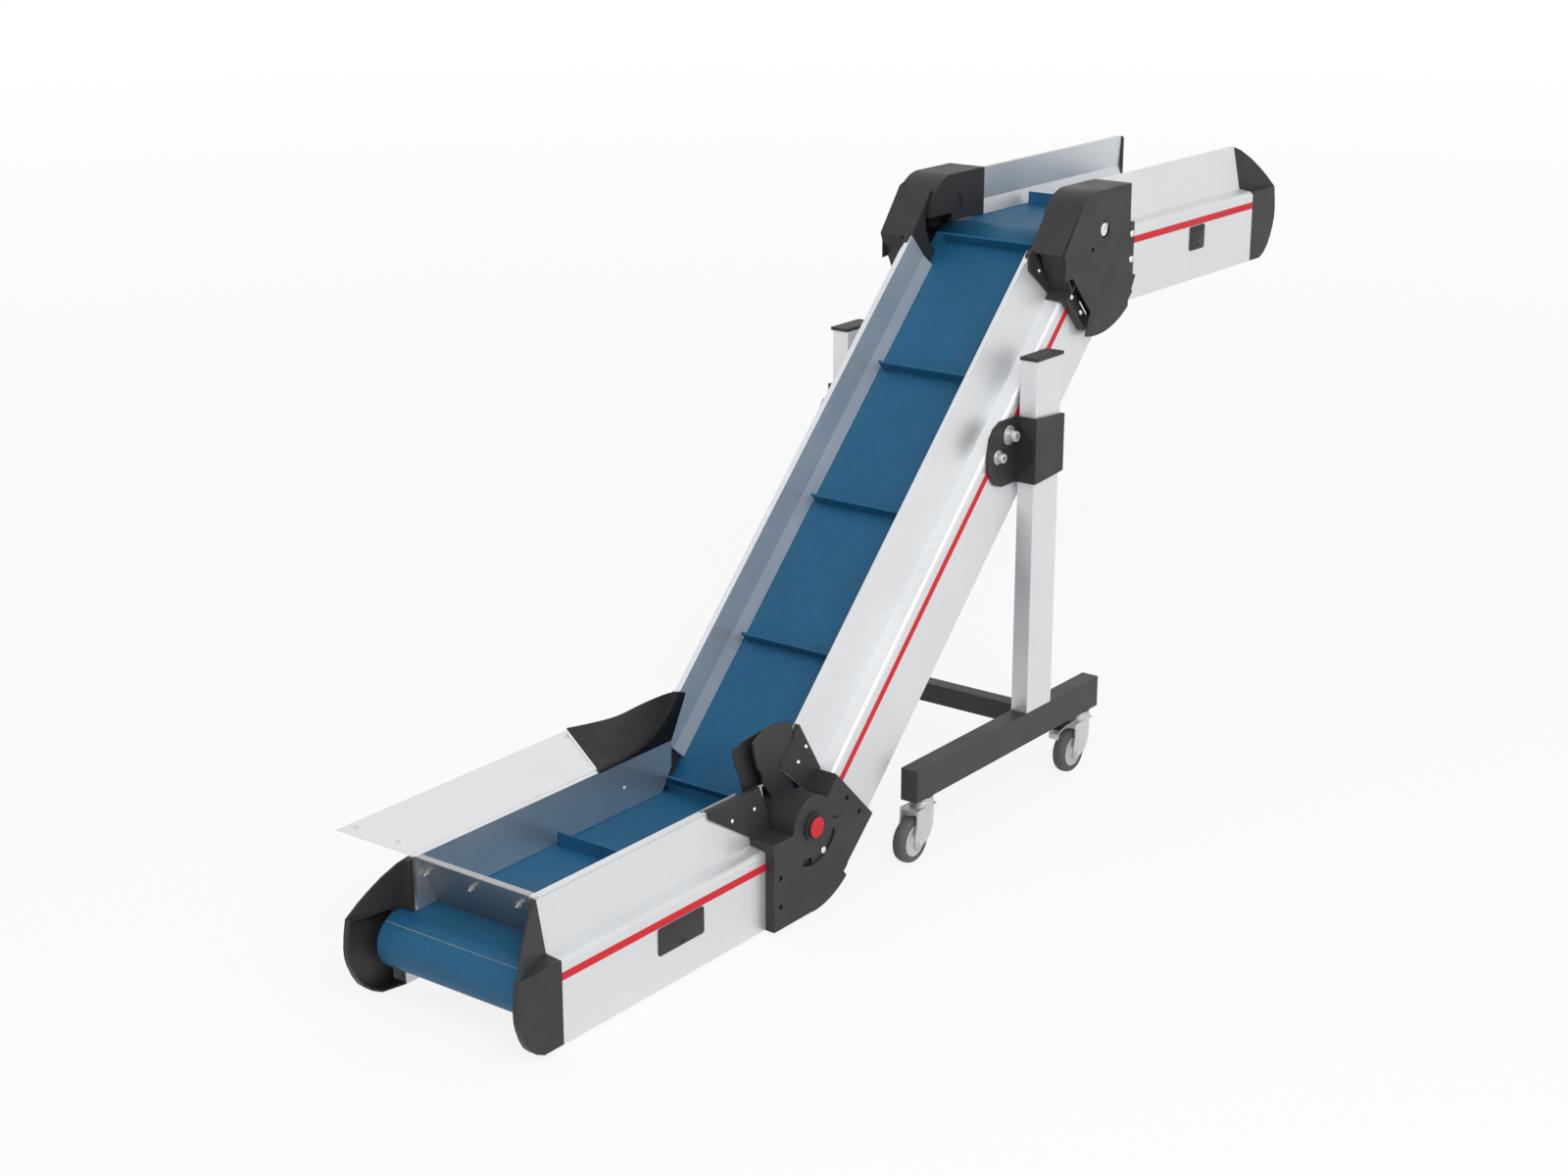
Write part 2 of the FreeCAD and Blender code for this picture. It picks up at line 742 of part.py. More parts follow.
# The inner guard beside the near lower knuckle, seen from the side.
INNER_GUARD = (
    # shares of the disc's radius from the pivot, along and up
    (0, -0.09),
    (0, 0),
    (0.23, 0.987),
    (0.113, 1.007),
    (-0.087, 1.04),
    (-0.307, 1.027),
    (-0.52, 1.013),
    (-0.713, 0.96),
    (-0.693, 0.867),
    (-0.653, 0.74),
    (-0.593, 0.627),
    (-0.547, 0.467),
    (-0.547, 0.09),
    (-0.36, 0.09),
    (-0.36, -0.09),
)

# What of the far lower knuckle's boss reaches in to the hopper's sheet, above the belt.
FAR_STUB = (
    # shares of the disc's radius from the pivot, along and up
    (-0.36, -0.06),
    (0, -0.06),
    (0.297, 0.215),
    (0.3, 0.35),
    (-0.36, 0.35),
)


def low_knuckle_infeed(place, side):
    name = f"LowInfeed{place}"
    px = "low_pivot_x"
    back = "(low_pivot_x - low_plate_back)"
    floor = "(pivot_height - low_disc_radius + 1)"
    plate = side_plate(
        name + "Plate",
        side,
        ((back, floor), (back, "low_plate_top"), (px, "low_plate_top"), (px, floor)),
        PLATE,
        PLATE_BACK,
    )
    disc = side_cylinder(name + "Disc", side, px, "pivot_height", "low_disc_radius", PLATE, PLATE_BACK)
    wedge = side_plate(
        name + "Wedge",
        side,
        (
            (px, "pivot_height"),
            (px, "pivot_height - 2 * low_disc_radius"),
            (f"{px} + 2 * low_disc_radius * {SEAM}", "pivot_height - 2 * low_disc_radius"),
        ),
        PLATE,
        PLATE_BACK,
    )
    sector = common(name + "Sector", [disc, wedge])
    reach = "2 * low_disc_radius"
    slot_wedge = side_plate(
        name + "SlotWedge",
        side,
        (
            (px, "pivot_height"),
            (px, f"pivot_height - {reach}"),
            (f"{px} + {reach}", f"pivot_height - {reach}"),
            (f"{px} + {reach}", f"pivot_height - 0.1 * {reach}"),
        ),
        PLATE,
        PLATE_BACK,
    )
    slot_disc = side_cylinder(
        name + "SlotDisc", side, px, "pivot_height", "low_slot_radius + 2 * low_slot_half_width", PLATE,
        PLATE_BACK,
    )
    surround = common(name + "Surround", [slot_disc, slot_wedge])
    drum = side_cylinder(name + "Drum", side, px, "pivot_height", "low_boss_radius", PLATE, "boss_depth")
    hollow = side_cylinder(
        name + "Hollow", side, px, "pivot_height", "low_boss_radius - boss_wall",
        "boss_wall - plate_outer", "boss_depth - shell_wall",
    )
    boss = cut(name + "Boss", drum, hollow)
    screw_x = f"{back} + low_plate_back / 6"
    screws = ((screw_x, "0.65 * body_height"), (screw_x, "0.28 * body_height"))
    cuts = holes(name, side, screws, PLATE_BACK) + [arc_slot(name + "Slot", side, px, PLATE_BACK)]
    face_whole = fuse(name + "FaceWhole", [plate, sector, surround])
    face = cut(name + "Face", face_whole, fuse(name + "FaceCuts", cuts))
    rim = side_box(name + "Rim", side, back, PLATE_BACK, "0", floor, "shell_wall", f"low_plate_top - {floor}")
    lip = side_box(name + "Lip", side, back, PLATE_BACK, "0", floor, "low_plate_back", "shell_wall")
    brow = side_box(
        name + "Brow", side, back, "-seat_gap", "body_depth", "ledge_height + seat_gap", "shell_wall",
        "low_plate_top - ledge_height - seat_gap",
    )
    shelf = side_box(
        name + "Shelf",
        side,
        back,
        PLATE_BACK,
        "body_depth + 1",
        "low_plate_top - shell_wall",
        "low_plate_back - low_boss_radius + boss_wall",
        "shell_wall",
    )
    ring = side_cylinder(
        name + "Ring", side, px, "pivot_height", "button_ring_radius", "-plate_outer - button_ring_height",
        PLATE,
    )
    button = side_cylinder(
        name + "Button", side, px, "pivot_height", "button_radius", "-plate_outer - button_height", PLATE
    )
    if side == NEAR:
        outline = [
            (f"{px} + {along} * low_disc_radius", f"pivot_height + {up} * low_disc_radius")
            for along, up in INNER_GUARD
        ]
        guard = side_plate(name + "Guard", side, outline, "guard_depth", "guard_depth + guard_thickness")
        stub = side_cylinder(
            name + "Stub", side, px, "pivot_height", "low_boss_radius", "boss_depth", "guard_depth"
        )
        mask = side_plate(name + "StubMask", side, outline, "0", "guard_depth + guard_thickness")
        extra = [guard, common(name + "StubPart", [stub, mask])]
        flap_top = "lean_top + 2 * flap_thickness"
    else:
        outline = [
            (f"{px} + {along} * low_disc_radius", f"pivot_height + {up} * low_disc_radius")
            for along, up in FAR_STUB
        ]
        stub = side_cylinder(
            name + "Stub", side, px, "pivot_height", "low_boss_radius", "boss_depth - 1", "far_boss_depth"
        )
        mask = side_plate(name + "StubMask", side, outline, "0", "far_boss_depth")
        extra = [common(name + "StubPart", [stub, mask])]
        flap_top = "lean_top - 1"
    flap_start = f"({back} - flap_length)"
    edge = f"({px} - low_boss_radius)"
    tab = flap(
        name + "Flap",
        side,
        (
            (flap_start, "lean_top - 2 * flap_thickness"),
            (flap_start, flap_top),
            (f"{edge} - 11", flap_top),
            (f"{edge} - 1", "low_plate_top + 25"),
            (f"{edge} - 1", "low_plate_top - 7"),
            (f"{back} + 14", "low_plate_top - 7"),
        ),
        flap_start,
        f"{edge} - 1 - {flap_start}",
    )
    return fuse(name, [face, rim, lip, brow, shelf, boss, ring, button, tab] + extra)


# The outer guard beside the near knuckle, up to the incline's flap.
OUTER_GUARD = (
    # shares of the disc's radius from the pivot, along the incline and up from it
    (0, 0),
    (0.12, 0.595),
    (0.176, 0.705),
    (0.187, 0.812),
    (0.265, 0.957),
    (0.346, 1.065),
    (0.466, 1.033),
    (0.624, 0.946),
    (0.739, 0.812),
    (0.86, 0.615),
)


def low_knuckle_incline(place, side):
    name = f"LowIncline{place}"
    px = "pivot_back"
    end = "low_incline_reach"
    radius = "(low_disc_radius - swing_gap - shell_wall)"
    plate = side_plate(
        name + "Plate",
        side,
        (
            (px, "low_incline_top"),
            (end, "low_incline_top"),
            (end, "shell_wall"),
            (f"{px} - 0.28 * pivot_back", "low_incline_top - 0.9 * low_disc_radius"),
        ),
        UNDER,
        UNDER_BACK,
    )
    disc = side_cylinder(name + "Disc", side, px, "pivot_height", radius, UNDER, UNDER_BACK)
    sector_mask = side_plate(
        name + "Wedge",
        side,
        (
            (px, "pivot_height"),
            (px, "pivot_height - low_disc_radius"),
            (f"{px} - low_disc_radius", "pivot_height - low_disc_radius"),
        ),
        UNDER,
        UNDER_BACK,
    )
    sector = common(name + "Sector", [disc, sector_mask])
    rim = side_box(
        name + "Rim", side, f"{end} - shell_wall", UNDER_BACK, "0", "shell_wall", "shell_wall",
        "low_incline_top - shell_wall",
    )
    shelf_start = "incline_side_start + 1"
    shelf = side_box(
        name + "Shelf",
        side,
        shelf_start,
        UNDER_BACK,
        "body_depth",
        "low_incline_top - shell_wall",
        f"{end} - {shelf_start}",
        "shell_wall",
    )
    flap_top = "lean_top + 2 * flap_thickness" if side == NEAR else "lean_top - 1"
    tab = flap(
        name + "Flap",
        side,
        (
            (shelf_start, flap_top),
            (f"{end} + 0.46 * flap_length", flap_top),
            (f"{end} + 0.08 * flap_length", "ledge_height + 1"),
            (shelf_start, "ledge_height + 1"),
        ),
        shelf_start,
        "low_incline_reach",
    )
    near_only = []
    if side == NEAR:
        outline = [
            (f"{px} + {along} * low_disc_radius", f"pivot_height + {up} * low_disc_radius")
            for along, up in OUTER_GUARD
        ]
        edge = "(incline_side_start - seat_gap)"
        outline += [(f"{end} + shell_wall", "lean_top + seat_gap"), (edge, "lean_top + seat_gap")]
        outline.append((edge, "pivot_height"))
        inner = "outer_guard_depth + outer_guard_thickness"
        near_only = [side_plate(name + "Guard", side, outline, "outer_guard_depth", inner)]
    bore = side_cylinder(
        name + "Bore", side, px, "pivot_height", "low_boss_radius + pivot_gap", "-plate_outer", "strip_depth"
    )
    screw_x = f"{end} - low_incline_reach / 10"
    screws = ((screw_x, "0.68 * body_height"), (screw_x, "0.31 * body_height"))
    whole = fuse(name + "Whole", [plate, sector, rim, shelf, tab] + near_only)
    return cut(name, whole, fuse(name + "Cuts", [bore] + holes(name, side, screws, UNDER_BACK)))


# Upper knuckles: the discharge's half is a cover with a rounded hood, and the incline's half is
# a box whose roof runs up to the hood.
COVER_OUTLINE = (
    # shares of the disc's radius from the pivot, along and up
    (0, 0.38),
    (-0.313, 0.272),
    (-0.63, -0.148),
    (-0.6, -0.229),
    (-0.6, -0.395),
    (-0.469, -0.38),
    (-0.117, -0.761),
    (-0.174, -0.878),
    (-0.24, -1.2),
)


def about_pivot(px, outline):
    """Points given as shares of the upper disc's radius from the pivot."""
    return [
        (f"{px} + {along} * high_disc_radius", f"pivot_height + {up} * high_disc_radius")
        for along, up in outline
    ]


def high_knuckle_discharge(place, side):
    name = f"HighDischarge{place}"
    px = "-pivot_back"
    outline = [
        ("high_plate_end", "pivot_height"),
        ("0.75 * high_plate_end", "pivot_height"),
        ("high_cover_end", "pivot_height + high_hood_radius"),
    ]
    outline += about_pivot(px, COVER_OUTLINE)
    outline += [
        ("0.78 * high_plate_end", "pivot_height - 1.2 * high_disc_radius"),
        ("0.78 * high_plate_end", "0.04 * body_height"),
        ("1.17 * high_plate_end", "0.37 * body_height"),
        ("high_plate_end", "0.4 * body_height"),
    ]
    blank = side_plate(name + "Blank", side, outline, PLATE, PLATE_BACK)
    disc = side_cylinder(name + "Disc", side, px, "pivot_height", "high_disc_radius", PLATE, PLATE_BACK)
    plate = common(name + "Plate", [blank, disc])
    crown = side_cylinder(name + "Crown", side, px, "pivot_height", "high_hood_radius", PLATE, PLATE_BACK)
    rim = side_box(
        name + "Rim", side, "high_plate_end - shell_wall", PLATE_BACK, "0", "0.4 * body_height", "shell_wall",
        "pivot_height - 0.4 * body_height",
    )
    hood_disc = side_cylinder(
        name + "HoodDisc", side, px, "pivot_height", "high_hood_radius", PLATE_BACK, "hood_depth"
    )
    hood_hollow = side_cylinder(
        name + "HoodHollow", side, px, "pivot_height", "high_hood_radius - shell_wall", "-plate_outer",
        "hood_depth + 1",
    )
    quarter = side_box(
        name + "Quarter", side, f"{px} - high_hood_radius", "-plate_outer", "hood_depth + 1", "pivot_height",
        "high_hood_radius", "high_hood_radius",
    )
    hood = common(name + "Hood", [cut(name + "HoodRing", hood_disc, hood_hollow), quarter])
    top = side_box(
        name + "Top", side, px, PLATE_BACK, "hood_depth",
        "pivot_height + high_hood_radius - shell_wall", "pivot_back + high_cover_end", "shell_wall",
    )
    inner_sector = common(
        name + "InnerSector",
        [
            side_cylinder(
                name + "InnerDisc", side, px, "pivot_height", "high_hood_radius", "hood_depth",
                "hood_depth + guard_thickness",
            ),
            side_box(
                name + "InnerQuarter", side, f"{px} - high_hood_radius", "0", "2 * hood_depth",
                "pivot_height", "high_hood_radius", "high_hood_radius",
            ),
        ],
    )
    inner = side_box(
        name + "Inner", side, px, "hood_depth", "hood_depth + guard_thickness", "belt_clear",
        "pivot_back + high_cover_end", "pivot_height + high_hood_radius - belt_clear",
    )
    boss = side_cylinder(
        name + "Boss", side, px, "pivot_height", "high_boss_radius", PLATE_BACK, "boss_depth"
    )
    window = side_cylinder(
        name + "Window", side, f"{px} + high_window_offset", "pivot_height", "high_window_radius",
        OUTSIDE, "high_window_depth - plate_outer",
    )
    inner_window = side_cylinder(
        name + "InnerWindow", side, f"{px} + high_window_offset", "pivot_height + high_window_offset",
        "high_window_radius", "hood_depth - 1", "2 * hood_depth",
    )
    mark_place = (f"{px} - 1.5 * high_window_radius", "pivot_height - 2 * high_window_radius")
    mark = holes(name, side, [mark_place], PLATE_BACK)
    whole = fuse(name + "Whole", [plate, crown, rim, hood, top, inner_sector, inner, boss])
    return cut(name, whole, fuse(name + "Cuts", [window, inner_window] + mark))


def high_knuckle_incline(place, side):
    name = f"HighIncline{place}"
    px = "(incline_run + pivot_back)"
    back = "(incline_run - high_box_back)"
    depth = "hood_depth - swing_gap"
    foot = "(pivot_height - high_shoe_height)"
    blank = side_plate(
        name + "Blank",
        side,
        (
            (px, "pivot_height"),
            (back, "pivot_height + 0.24 * high_disc_radius"),
            (back, "pivot_height - high_disc_radius"),
            (px, "pivot_height - high_disc_radius"),
        ),
        UNDER,
        UNDER_BACK,
    )
    disc = side_cylinder(
        name + "Disc", side, px, "pivot_height", "high_disc_radius - swing_gap", UNDER, UNDER_BACK
    )
    plate = common(name + "Plate", [blank, disc])
    roof_low = "(lean_top - shell_wall)"
    roof_end = f"{px} - flap_thickness"
    roof = side_plate(
        name + "Roof",
        side,
        (
            (back, roof_low),
            (roof_end, f"{roof_low} + high_box_rise"),
            (roof_end, f"{roof_low} + high_box_rise - shell_wall"),
            (back, f"{roof_low} - shell_wall"),
        ),
        UNDER,
        depth,
    )
    wall_foot = f"({back} - high_wall_spread)"
    wall = side_plate(
        name + "Wall",
        side,
        (
            (back, roof_low),
            (wall_foot, "ledge_height + seat_gap"),
            (f"{wall_foot} + shell_wall", "ledge_height + seat_gap"),
            (f"{back} + shell_wall", roof_low),
        ),
        UNDER,
        "body_depth",
    )
    shoe_back = f"({back} - high_shoe_reach)"
    ledge = side_box(
        name + "Ledge", side, shoe_back, UNDER, "body_depth", "ledge_height + seat_gap", "high_shoe_reach",
        "shell_wall",
    )
    inner_face = side_plate(
        name + "InnerFace",
        side,
        (
            (back, "belt_clear"),
            (f"{back} + 0.7 * high_box_back", "belt_clear"),
            (roof_end, f"{roof_low} + high_box_rise"),
            (back, roof_low),
        ),
        f"{depth} - shell_wall",
        depth,
    )
    clear = side_cylinder(
        name + "Clear", side, px, "pivot_height", "high_hood_radius + swing_gap", "boss_depth", "strip_depth"
    )
    tray = side_plate(
        name + "Tray",
        side,
        (
            (shoe_back, "ledge_height + 1"),
            (f"{back} + 1", "ledge_height + 1"),
            (f"{back} + 1", f"{foot} - shell_wall"),
            (f"{shoe_back} + 0.35 * high_shoe_reach", f"{foot} - shell_wall"),
            (shoe_back, foot),
        ),
        UNDER,
        "0",
    )
    tray_hollow = side_plate(
        name + "TrayHollow",
        side,
        (
            (f"{shoe_back} + shell_wall", "ledge_height"),
            (back, "ledge_height"),
            (back, f"{foot} + shell_wall"),
            (f"{shoe_back} + shell_wall", f"{foot} + 1.5 * shell_wall"),
        ),
        OUTSIDE,
        "-shell_wall",
    )
    shoe = cut(name + "Shoe", tray, tray_hollow)
    tab = flap(
        name + "Flap",
        side,
        (
            (f"{back} + 1", "ledge_height + 1"),
            (f"{back} - 0.36 * flap_length", "ledge_height + 1"),
            (f"{back} - 0.36 * flap_length", "0.945 * lean_top"),
            (f"{back} - 0.06 * flap_length", "lean_top + 2 * flap_thickness"),
            (f"{back} + 1", "lean_top + 2 * flap_thickness"),
        ),
        f"{back} - flap_length / 2",
        "0.56 * flap_length",
    )
    bore = side_cylinder(
        name + "Bore", side, px, "pivot_height", "high_boss_radius + pivot_gap", "-plate_outer", "strip_depth"
    )
    trimmed = cut(name + "TrimmedFace", inner_face, clear)
    whole = fuse(name + "Whole", [plate, roof, wall, ledge, trimmed, shoe, tab])
    return cut(name, whole, bore)


for place, side in SIDES:
    finished(low_knuckle_infeed(place, side), f"knuckle_low_infeed_{place}", "infeed")
    finished(low_knuckle_incline(place, side), f"knuckle_low_incline_{place}", "incline")
    finished(high_knuckle_discharge(place, side), f"knuckle_high_discharge_{place}", "discharge")
    finished(high_knuckle_incline(place, side), f"knuckle_high_incline_{place}", "incline")


# Hopper of folded sheet: an upright sheet on each side, a wide flare on the far side and a
# sloping plate at the front.
HOPPER_FOOT = "(belt_level + 1)"
HOPPER_TOP = "(lean_top + seat_gap)"
upright = side_plate(
    "HopperFarUpright",
    FAR,
    (
        ("2", HOPPER_FOOT),
        ("2", f"{HOPPER_TOP} + hopper_sheet"),
        ("flare_fold_back", f"{HOPPER_TOP} + hopper_sheet"),
        ("hopper_far_end", f"{HOPPER_TOP} + hopper_sheet"),
        ("hopper_far_end", f"{HOPPER_FOOT} + 40"),
        ("hopper_far_end - 25", HOPPER_FOOT),
    ),
    "hopper_sheet_depth",
    "hopper_sheet_depth + hopper_sheet",
)
flare = outline_body(
    "HopperFlare",
    "XY_Plane",
    [
        (
            ("2", "half_width - hopper_sheet_depth - hopper_sheet"),
            ("2", "flare_reach"),
            ("flare_back", "flare_reach"),
            ("flare_fold_back", "half_width - hopper_sheet_depth - hopper_sheet"),
        )
    ],
    HOPPER_TOP,
    "hopper_sheet",
    False,
)
finished(fuse("HopperFar", [upright, flare]), "hopper_far", "infeed")
upright = side_box(
    "HopperNearUpright", NEAR, "2", "hopper_sheet_depth", "hopper_sheet_depth + hopper_sheet", HOPPER_FOOT,
    "hopper_near_end - 2", f"{HOPPER_TOP} + hopper_sheet - {HOPPER_FOOT}",
)
hem = side_box(
    "HopperNearHem", NEAR, "2", "lean_depth", "hopper_sheet_depth + hopper_sheet", HOPPER_TOP,
    "low_pivot_x - low_plate_back - 95", "hopper_sheet",
)
finished(fuse("HopperNear", [upright, hem]), "hopper_near", "infeed")
FRONT_INSIDE = "(hopper_sheet_depth + hopper_sheet + seat_gap)"
front = outline_body(
    "HopperFrontPlate",
    "XZ_Plane",
    [
        (
            ("2", f"{HOPPER_TOP}"),
            ("2", f"{HOPPER_TOP} + hopper_sheet"),
            ("14", f"{HOPPER_TOP} + hopper_sheet"),
            ("14", f"{HOPPER_TOP}"),
            ("front_plate_foot + hopper_sheet", HOPPER_FOOT),
            ("front_plate_foot", HOPPER_FOOT),
            ("12", f"{HOPPER_TOP}"),
        )
    ],
    f"{FRONT_INSIDE} - half_width",
    f"2 * (half_width - {FRONT_INSIDE})",
    False,
)
finished(front, "hopper_front", "infeed")


# Moulded guard that carries the flare on over the far lower knuckle, turning from flat to
# upright. It stands on the belt side of the walls and passes over their tops.
GUARD_FOOT = "lean_top + 1"
GUARD_STATIONS = (
    # shares of the fold's length: fold x, crest x, crest rise, edge x, edge rise; share of the reach
    (0.01, 0.01, 0.019, 0.613, 0.019, 1),
    (0.293, 0.298, 0.024, 1.064, 0.024, 0.78),
    (0.564, 0.586, 0.049, 1.069, 0.168, 0.56),
    (0.781, 0.934, 0.222, 1.042, 0.375, 0.18),
    (0.917, 1.031, 0.32, 1.107, 0.44, 0.024),
    (0.998, 1.172, 0.32, 1.21, 0.396, 0),
)
GUARD_Y = "(half_width - guard_depth)"


def guard_corners(fold_x, crest_x, crest_rise, edge_x, edge_rise, reach):
    """A thin bent strip across the guard: fold, crest and edge below, then the same above."""
    length = "(hopper_far_end - flare_fold_back)"
    edge_y = f"{GUARD_Y} + {reach} * (flare_reach - {GUARD_Y})"
    lower = ((fold_x, GUARD_Y, 0, 0), (crest_x, GUARD_Y, crest_rise, 1), (edge_x, edge_y, edge_rise, 1))
    corners = []
    for skin, stations in ((0, lower), (1, lower[::-1])):
        for x, y, rise, lift in stations:
            corners.append(
                FreeCAD.Vector(
                    value(f"flare_fold_back + {x} * {length}"),
                    value(f"{y} - {skin} * guard_thickness"),
                    value(f"{GUARD_FOOT} + {rise} * {length} + {0.75 * skin * lift} * guard_thickness"),
                )
            )
    return corners


def facet(*corners):
    return Part.Face(Part.makePolygon(list(corners) + [corners[0]]))


strips = [guard_corners(*station) for station in GUARD_STATIONS]
facets = []
for strip in (strips[0], strips[-1]):
    fold, crest, edge, edge_above, crest_above, fold_above = strip
    facets += [facet(fold, crest, fold_above), facet(crest, crest_above, fold_above)]
    facets += [facet(crest, edge, crest_above), facet(edge, edge_above, crest_above)]
for strip, following in zip(strips, strips[1:]):
    for i in range(len(strip)):
        after = (i + 1) % len(strip)
        facets.append(facet(strip[i], strip[after], following[i]))
        facets.append(facet(strip[after], following[after], following[i]))
guard = doc.addObject("Part::Feature", "HopperGuard")
guard.Shape = Part.Solid(Part.Shell(facets))
finished(guard, "hopper_guard", "infeed")


# Covers over the belt adjusters, on the near side.
for section, start, length in (
    ("infeed", "infeed_cover_start", "infeed_cover_length"),
    ("discharge", "discharge_cover_start", "discharge_cover_length"),
):
    plate = side_box(
        f"CoverPlate{section}", NEAR, start, "-cover_thickness", "0", "cover_bottom", length, "cover_height"
    )
    notch = side_cylinder(
        f"CoverNotch{section}",
        NEAR,
        f"{start} + {length} / 2",
        "cover_bottom",
        "cover_notch_radius",
        "-2 * cover_thickness",
        "cover_thickness",
    )
    finished(cut(f"Cover{section}", plate, notch), f"cover_{section}", section)


# Stand: two beams joined by a cross beam, with a post and its cap on each.
POST_OUTER = "-post_gap - post_depth"
POST_INNER = "-post_gap"
BEAM_TOP = "(beam_bottom + beam_height)"
CASTORS = (
    # name, side, swivel's place along the beam
    ("front_near", NEAR, "castor_front"),
    ("front_far", FAR, "castor_front"),
    ("rear_near", NEAR, "beam_length - castor_rear"),
    ("rear_far", FAR, "beam_length - castor_rear"),
)


def beam_middle(side):
    return f"{side} * (half_width + post_gap + post_depth / 2)"


for place, side in SIDES:
    outer = side_box(
        f"BeamOuter{place}", side, "beam_start", POST_OUTER, POST_INNER, "beam_bottom", "beam_length",
        "beam_height",
    )
    inner = side_box(
        f"BeamInner{place}",
        side,
        "beam_start + tube_wall",
        f"{POST_OUTER} + tube_wall",
        f"{POST_INNER} - tube_wall",
        "beam_bottom + tube_wall",
        "beam_length - 2 * tube_wall",
        "beam_height - 2 * tube_wall",
    )
    tube = cut(f"BeamTube{place}", outer, inner)
    stems = []
    for name, castor_side, along in CASTORS:
        if castor_side == side:
            stem = cylinder(
                f"Stem{name}",
                f"beam_start + {along}",
                beam_middle(side),
                "beam_bottom - stem_length",
                "stem_radius",
                "stem_length + tube_wall",
                False,
            )
            stems.append(stem)
    finished(fuse(f"Beam{place}", [tube] + stems), f"beam_{place}", "stand")

    outer = side_box(
        f"PostOuter{place}", side, "post_centre - post_width / 2", POST_OUTER, POST_INNER, BEAM_TOP,
        "post_width", f"post_top - {BEAM_TOP}",
    )
    inner = side_box(
        f"PostInner{place}",
        side,
        "post_centre - post_width / 2 + tube_wall",
        f"{POST_OUTER} + tube_wall",
        f"{POST_INNER} - tube_wall",
        f"{BEAM_TOP} - 1",
        "post_width - 2 * tube_wall",
        f"post_top - {BEAM_TOP} + 2",
    )
    finished(cut(f"Post{place}", outer, inner), f"post_{place}", "stand")
    lid = side_box(
        f"PostLid{place}",
        side,
        "post_centre - post_width / 2 - post_cap_overhang",
        f"{POST_OUTER} - post_cap_overhang",
        POST_INNER,
        "post_top",
        "post_width + 2 * post_cap_overhang",
        "post_cap_height",
    )
    plug = side_box(
        f"PostPlug{place}",
        side,
        "post_centre - post_width / 2 + tube_wall + seat_gap",
        f"{POST_OUTER} + tube_wall + seat_gap",
        f"{POST_INNER} - tube_wall - seat_gap",
        "post_top - post_cap_plug",
        "post_width - 2 * (tube_wall + seat_gap)",
        "post_cap_plug",
    )
    finished(fuse(f"PostCap{place}", [lid, plug]), f"post_cap_{place}", "stand")

outer = box(
    "CrossOuter", "post_centre - cross_width / 2", "-half_width - post_gap",
    f"{BEAM_TOP} - cross_height", "cross_width", "2 * (half_width + post_gap)", "cross_height",
)
inner = box(
    "CrossInner", "post_centre - cross_width / 2 + tube_wall", "-half_width - post_gap - 1",
    f"{BEAM_TOP} - cross_height + tube_wall", "cross_width - 2 * tube_wall",
    "2 * (half_width + post_gap) + 2", "cross_height - 2 * tube_wall",
)
finished(cut("CrossBeam", outer, inner), "cross_beam", "stand")


# Brackets: a sleeve round the post with an ear that carries the incline's tilting pin.
EAR_OUTER = "bracket_fit - post_gap"
EAR_OUTLINE = (
    # shares of the sleeve's height, from the tilting pin along X and from the sleeve's foot up
    (-0.23, 1),
    (-0.4, 0.915),
    (-0.5, 0.78),
    (-0.545, 0.56),
    (-0.535, 0.29),
    (-0.34, 0.055),
    (-0.17, 0),
    (0.5, 0),
    (0.5, 1),
)
for place, side in SIDES:
    name = f"Bracket{place}"
    sleeve_x = "(post_centre - post_width / 2 - bracket_wall)"
    sleeve_end = "(post_centre + post_width / 2 + bracket_wall)"
    top = "bracket_bottom + bracket_height"
    block = side_plate(
        name + "Block",
        side,
        (
            (sleeve_x, "bracket_bottom"),
            (sleeve_x, top),
            (sleeve_end, f"{top} - bracket_taper"),
            (sleeve_end, "bracket_bottom + bracket_taper"),
        ),
        "-post_gap - post_depth - bracket_wall",
        "-bracket_fit",
    )
    ball = doc.addObject("Part::Sphere", name + "Ball")
    bind(ball, "Radius", "pocket_radius")
    bind(ball, "Placement.Base.x", f"{sleeve_x} + pocket_depth - pocket_radius")
    bind(ball, "Placement.Base.y", f"{side} * (half_width - pocket_inset)")
    bind(ball, "Placement.Base.z", "bracket_bottom + pocket_rise")
    window = side_box(
        name + "Window",
        side,
        "post_centre - post_width / 2 - bracket_fit",
        f"{POST_OUTER} - bracket_fit",
        EAR_OUTER,
        "bracket_bottom - 1",
        "post_width + 2 * bracket_fit",
        "bracket_height + 2",
    )
    outline = [
        (f"tilt_pivot_x + {along} * bracket_height", f"bracket_bottom + {up} * bracket_height")
        for along, up in EAR_OUTLINE
    ]
    ear = side_plate(name + "Ear", side, outline, EAR_OUTER, "-bracket_fit")
    pin = side_cylinder(
        name + "Pin", side, "tilt_pivot_x", "tilt_pivot_z", "tilt_pin_radius",
        "-post_gap - bracket_wall", "body_depth",
    )
    bolt = side_cylinder(
        name + "Bolt", side, "tilt_pivot_x + tilt_slot_radius * cos(tilt_slot_angle)",
        "tilt_pivot_z + tilt_slot_radius * sin(tilt_slot_angle)", "tilt_bolt_radius",
        "-post_gap - bracket_wall / 2", EAR_OUTER,
    )
    sleeve = cut(name + "Sleeve", cut(name + "Scooped", block, ball), window)
    finished(fuse(name, [sleeve, ear, pin, bolt]), f"bracket_{place}", "stand")


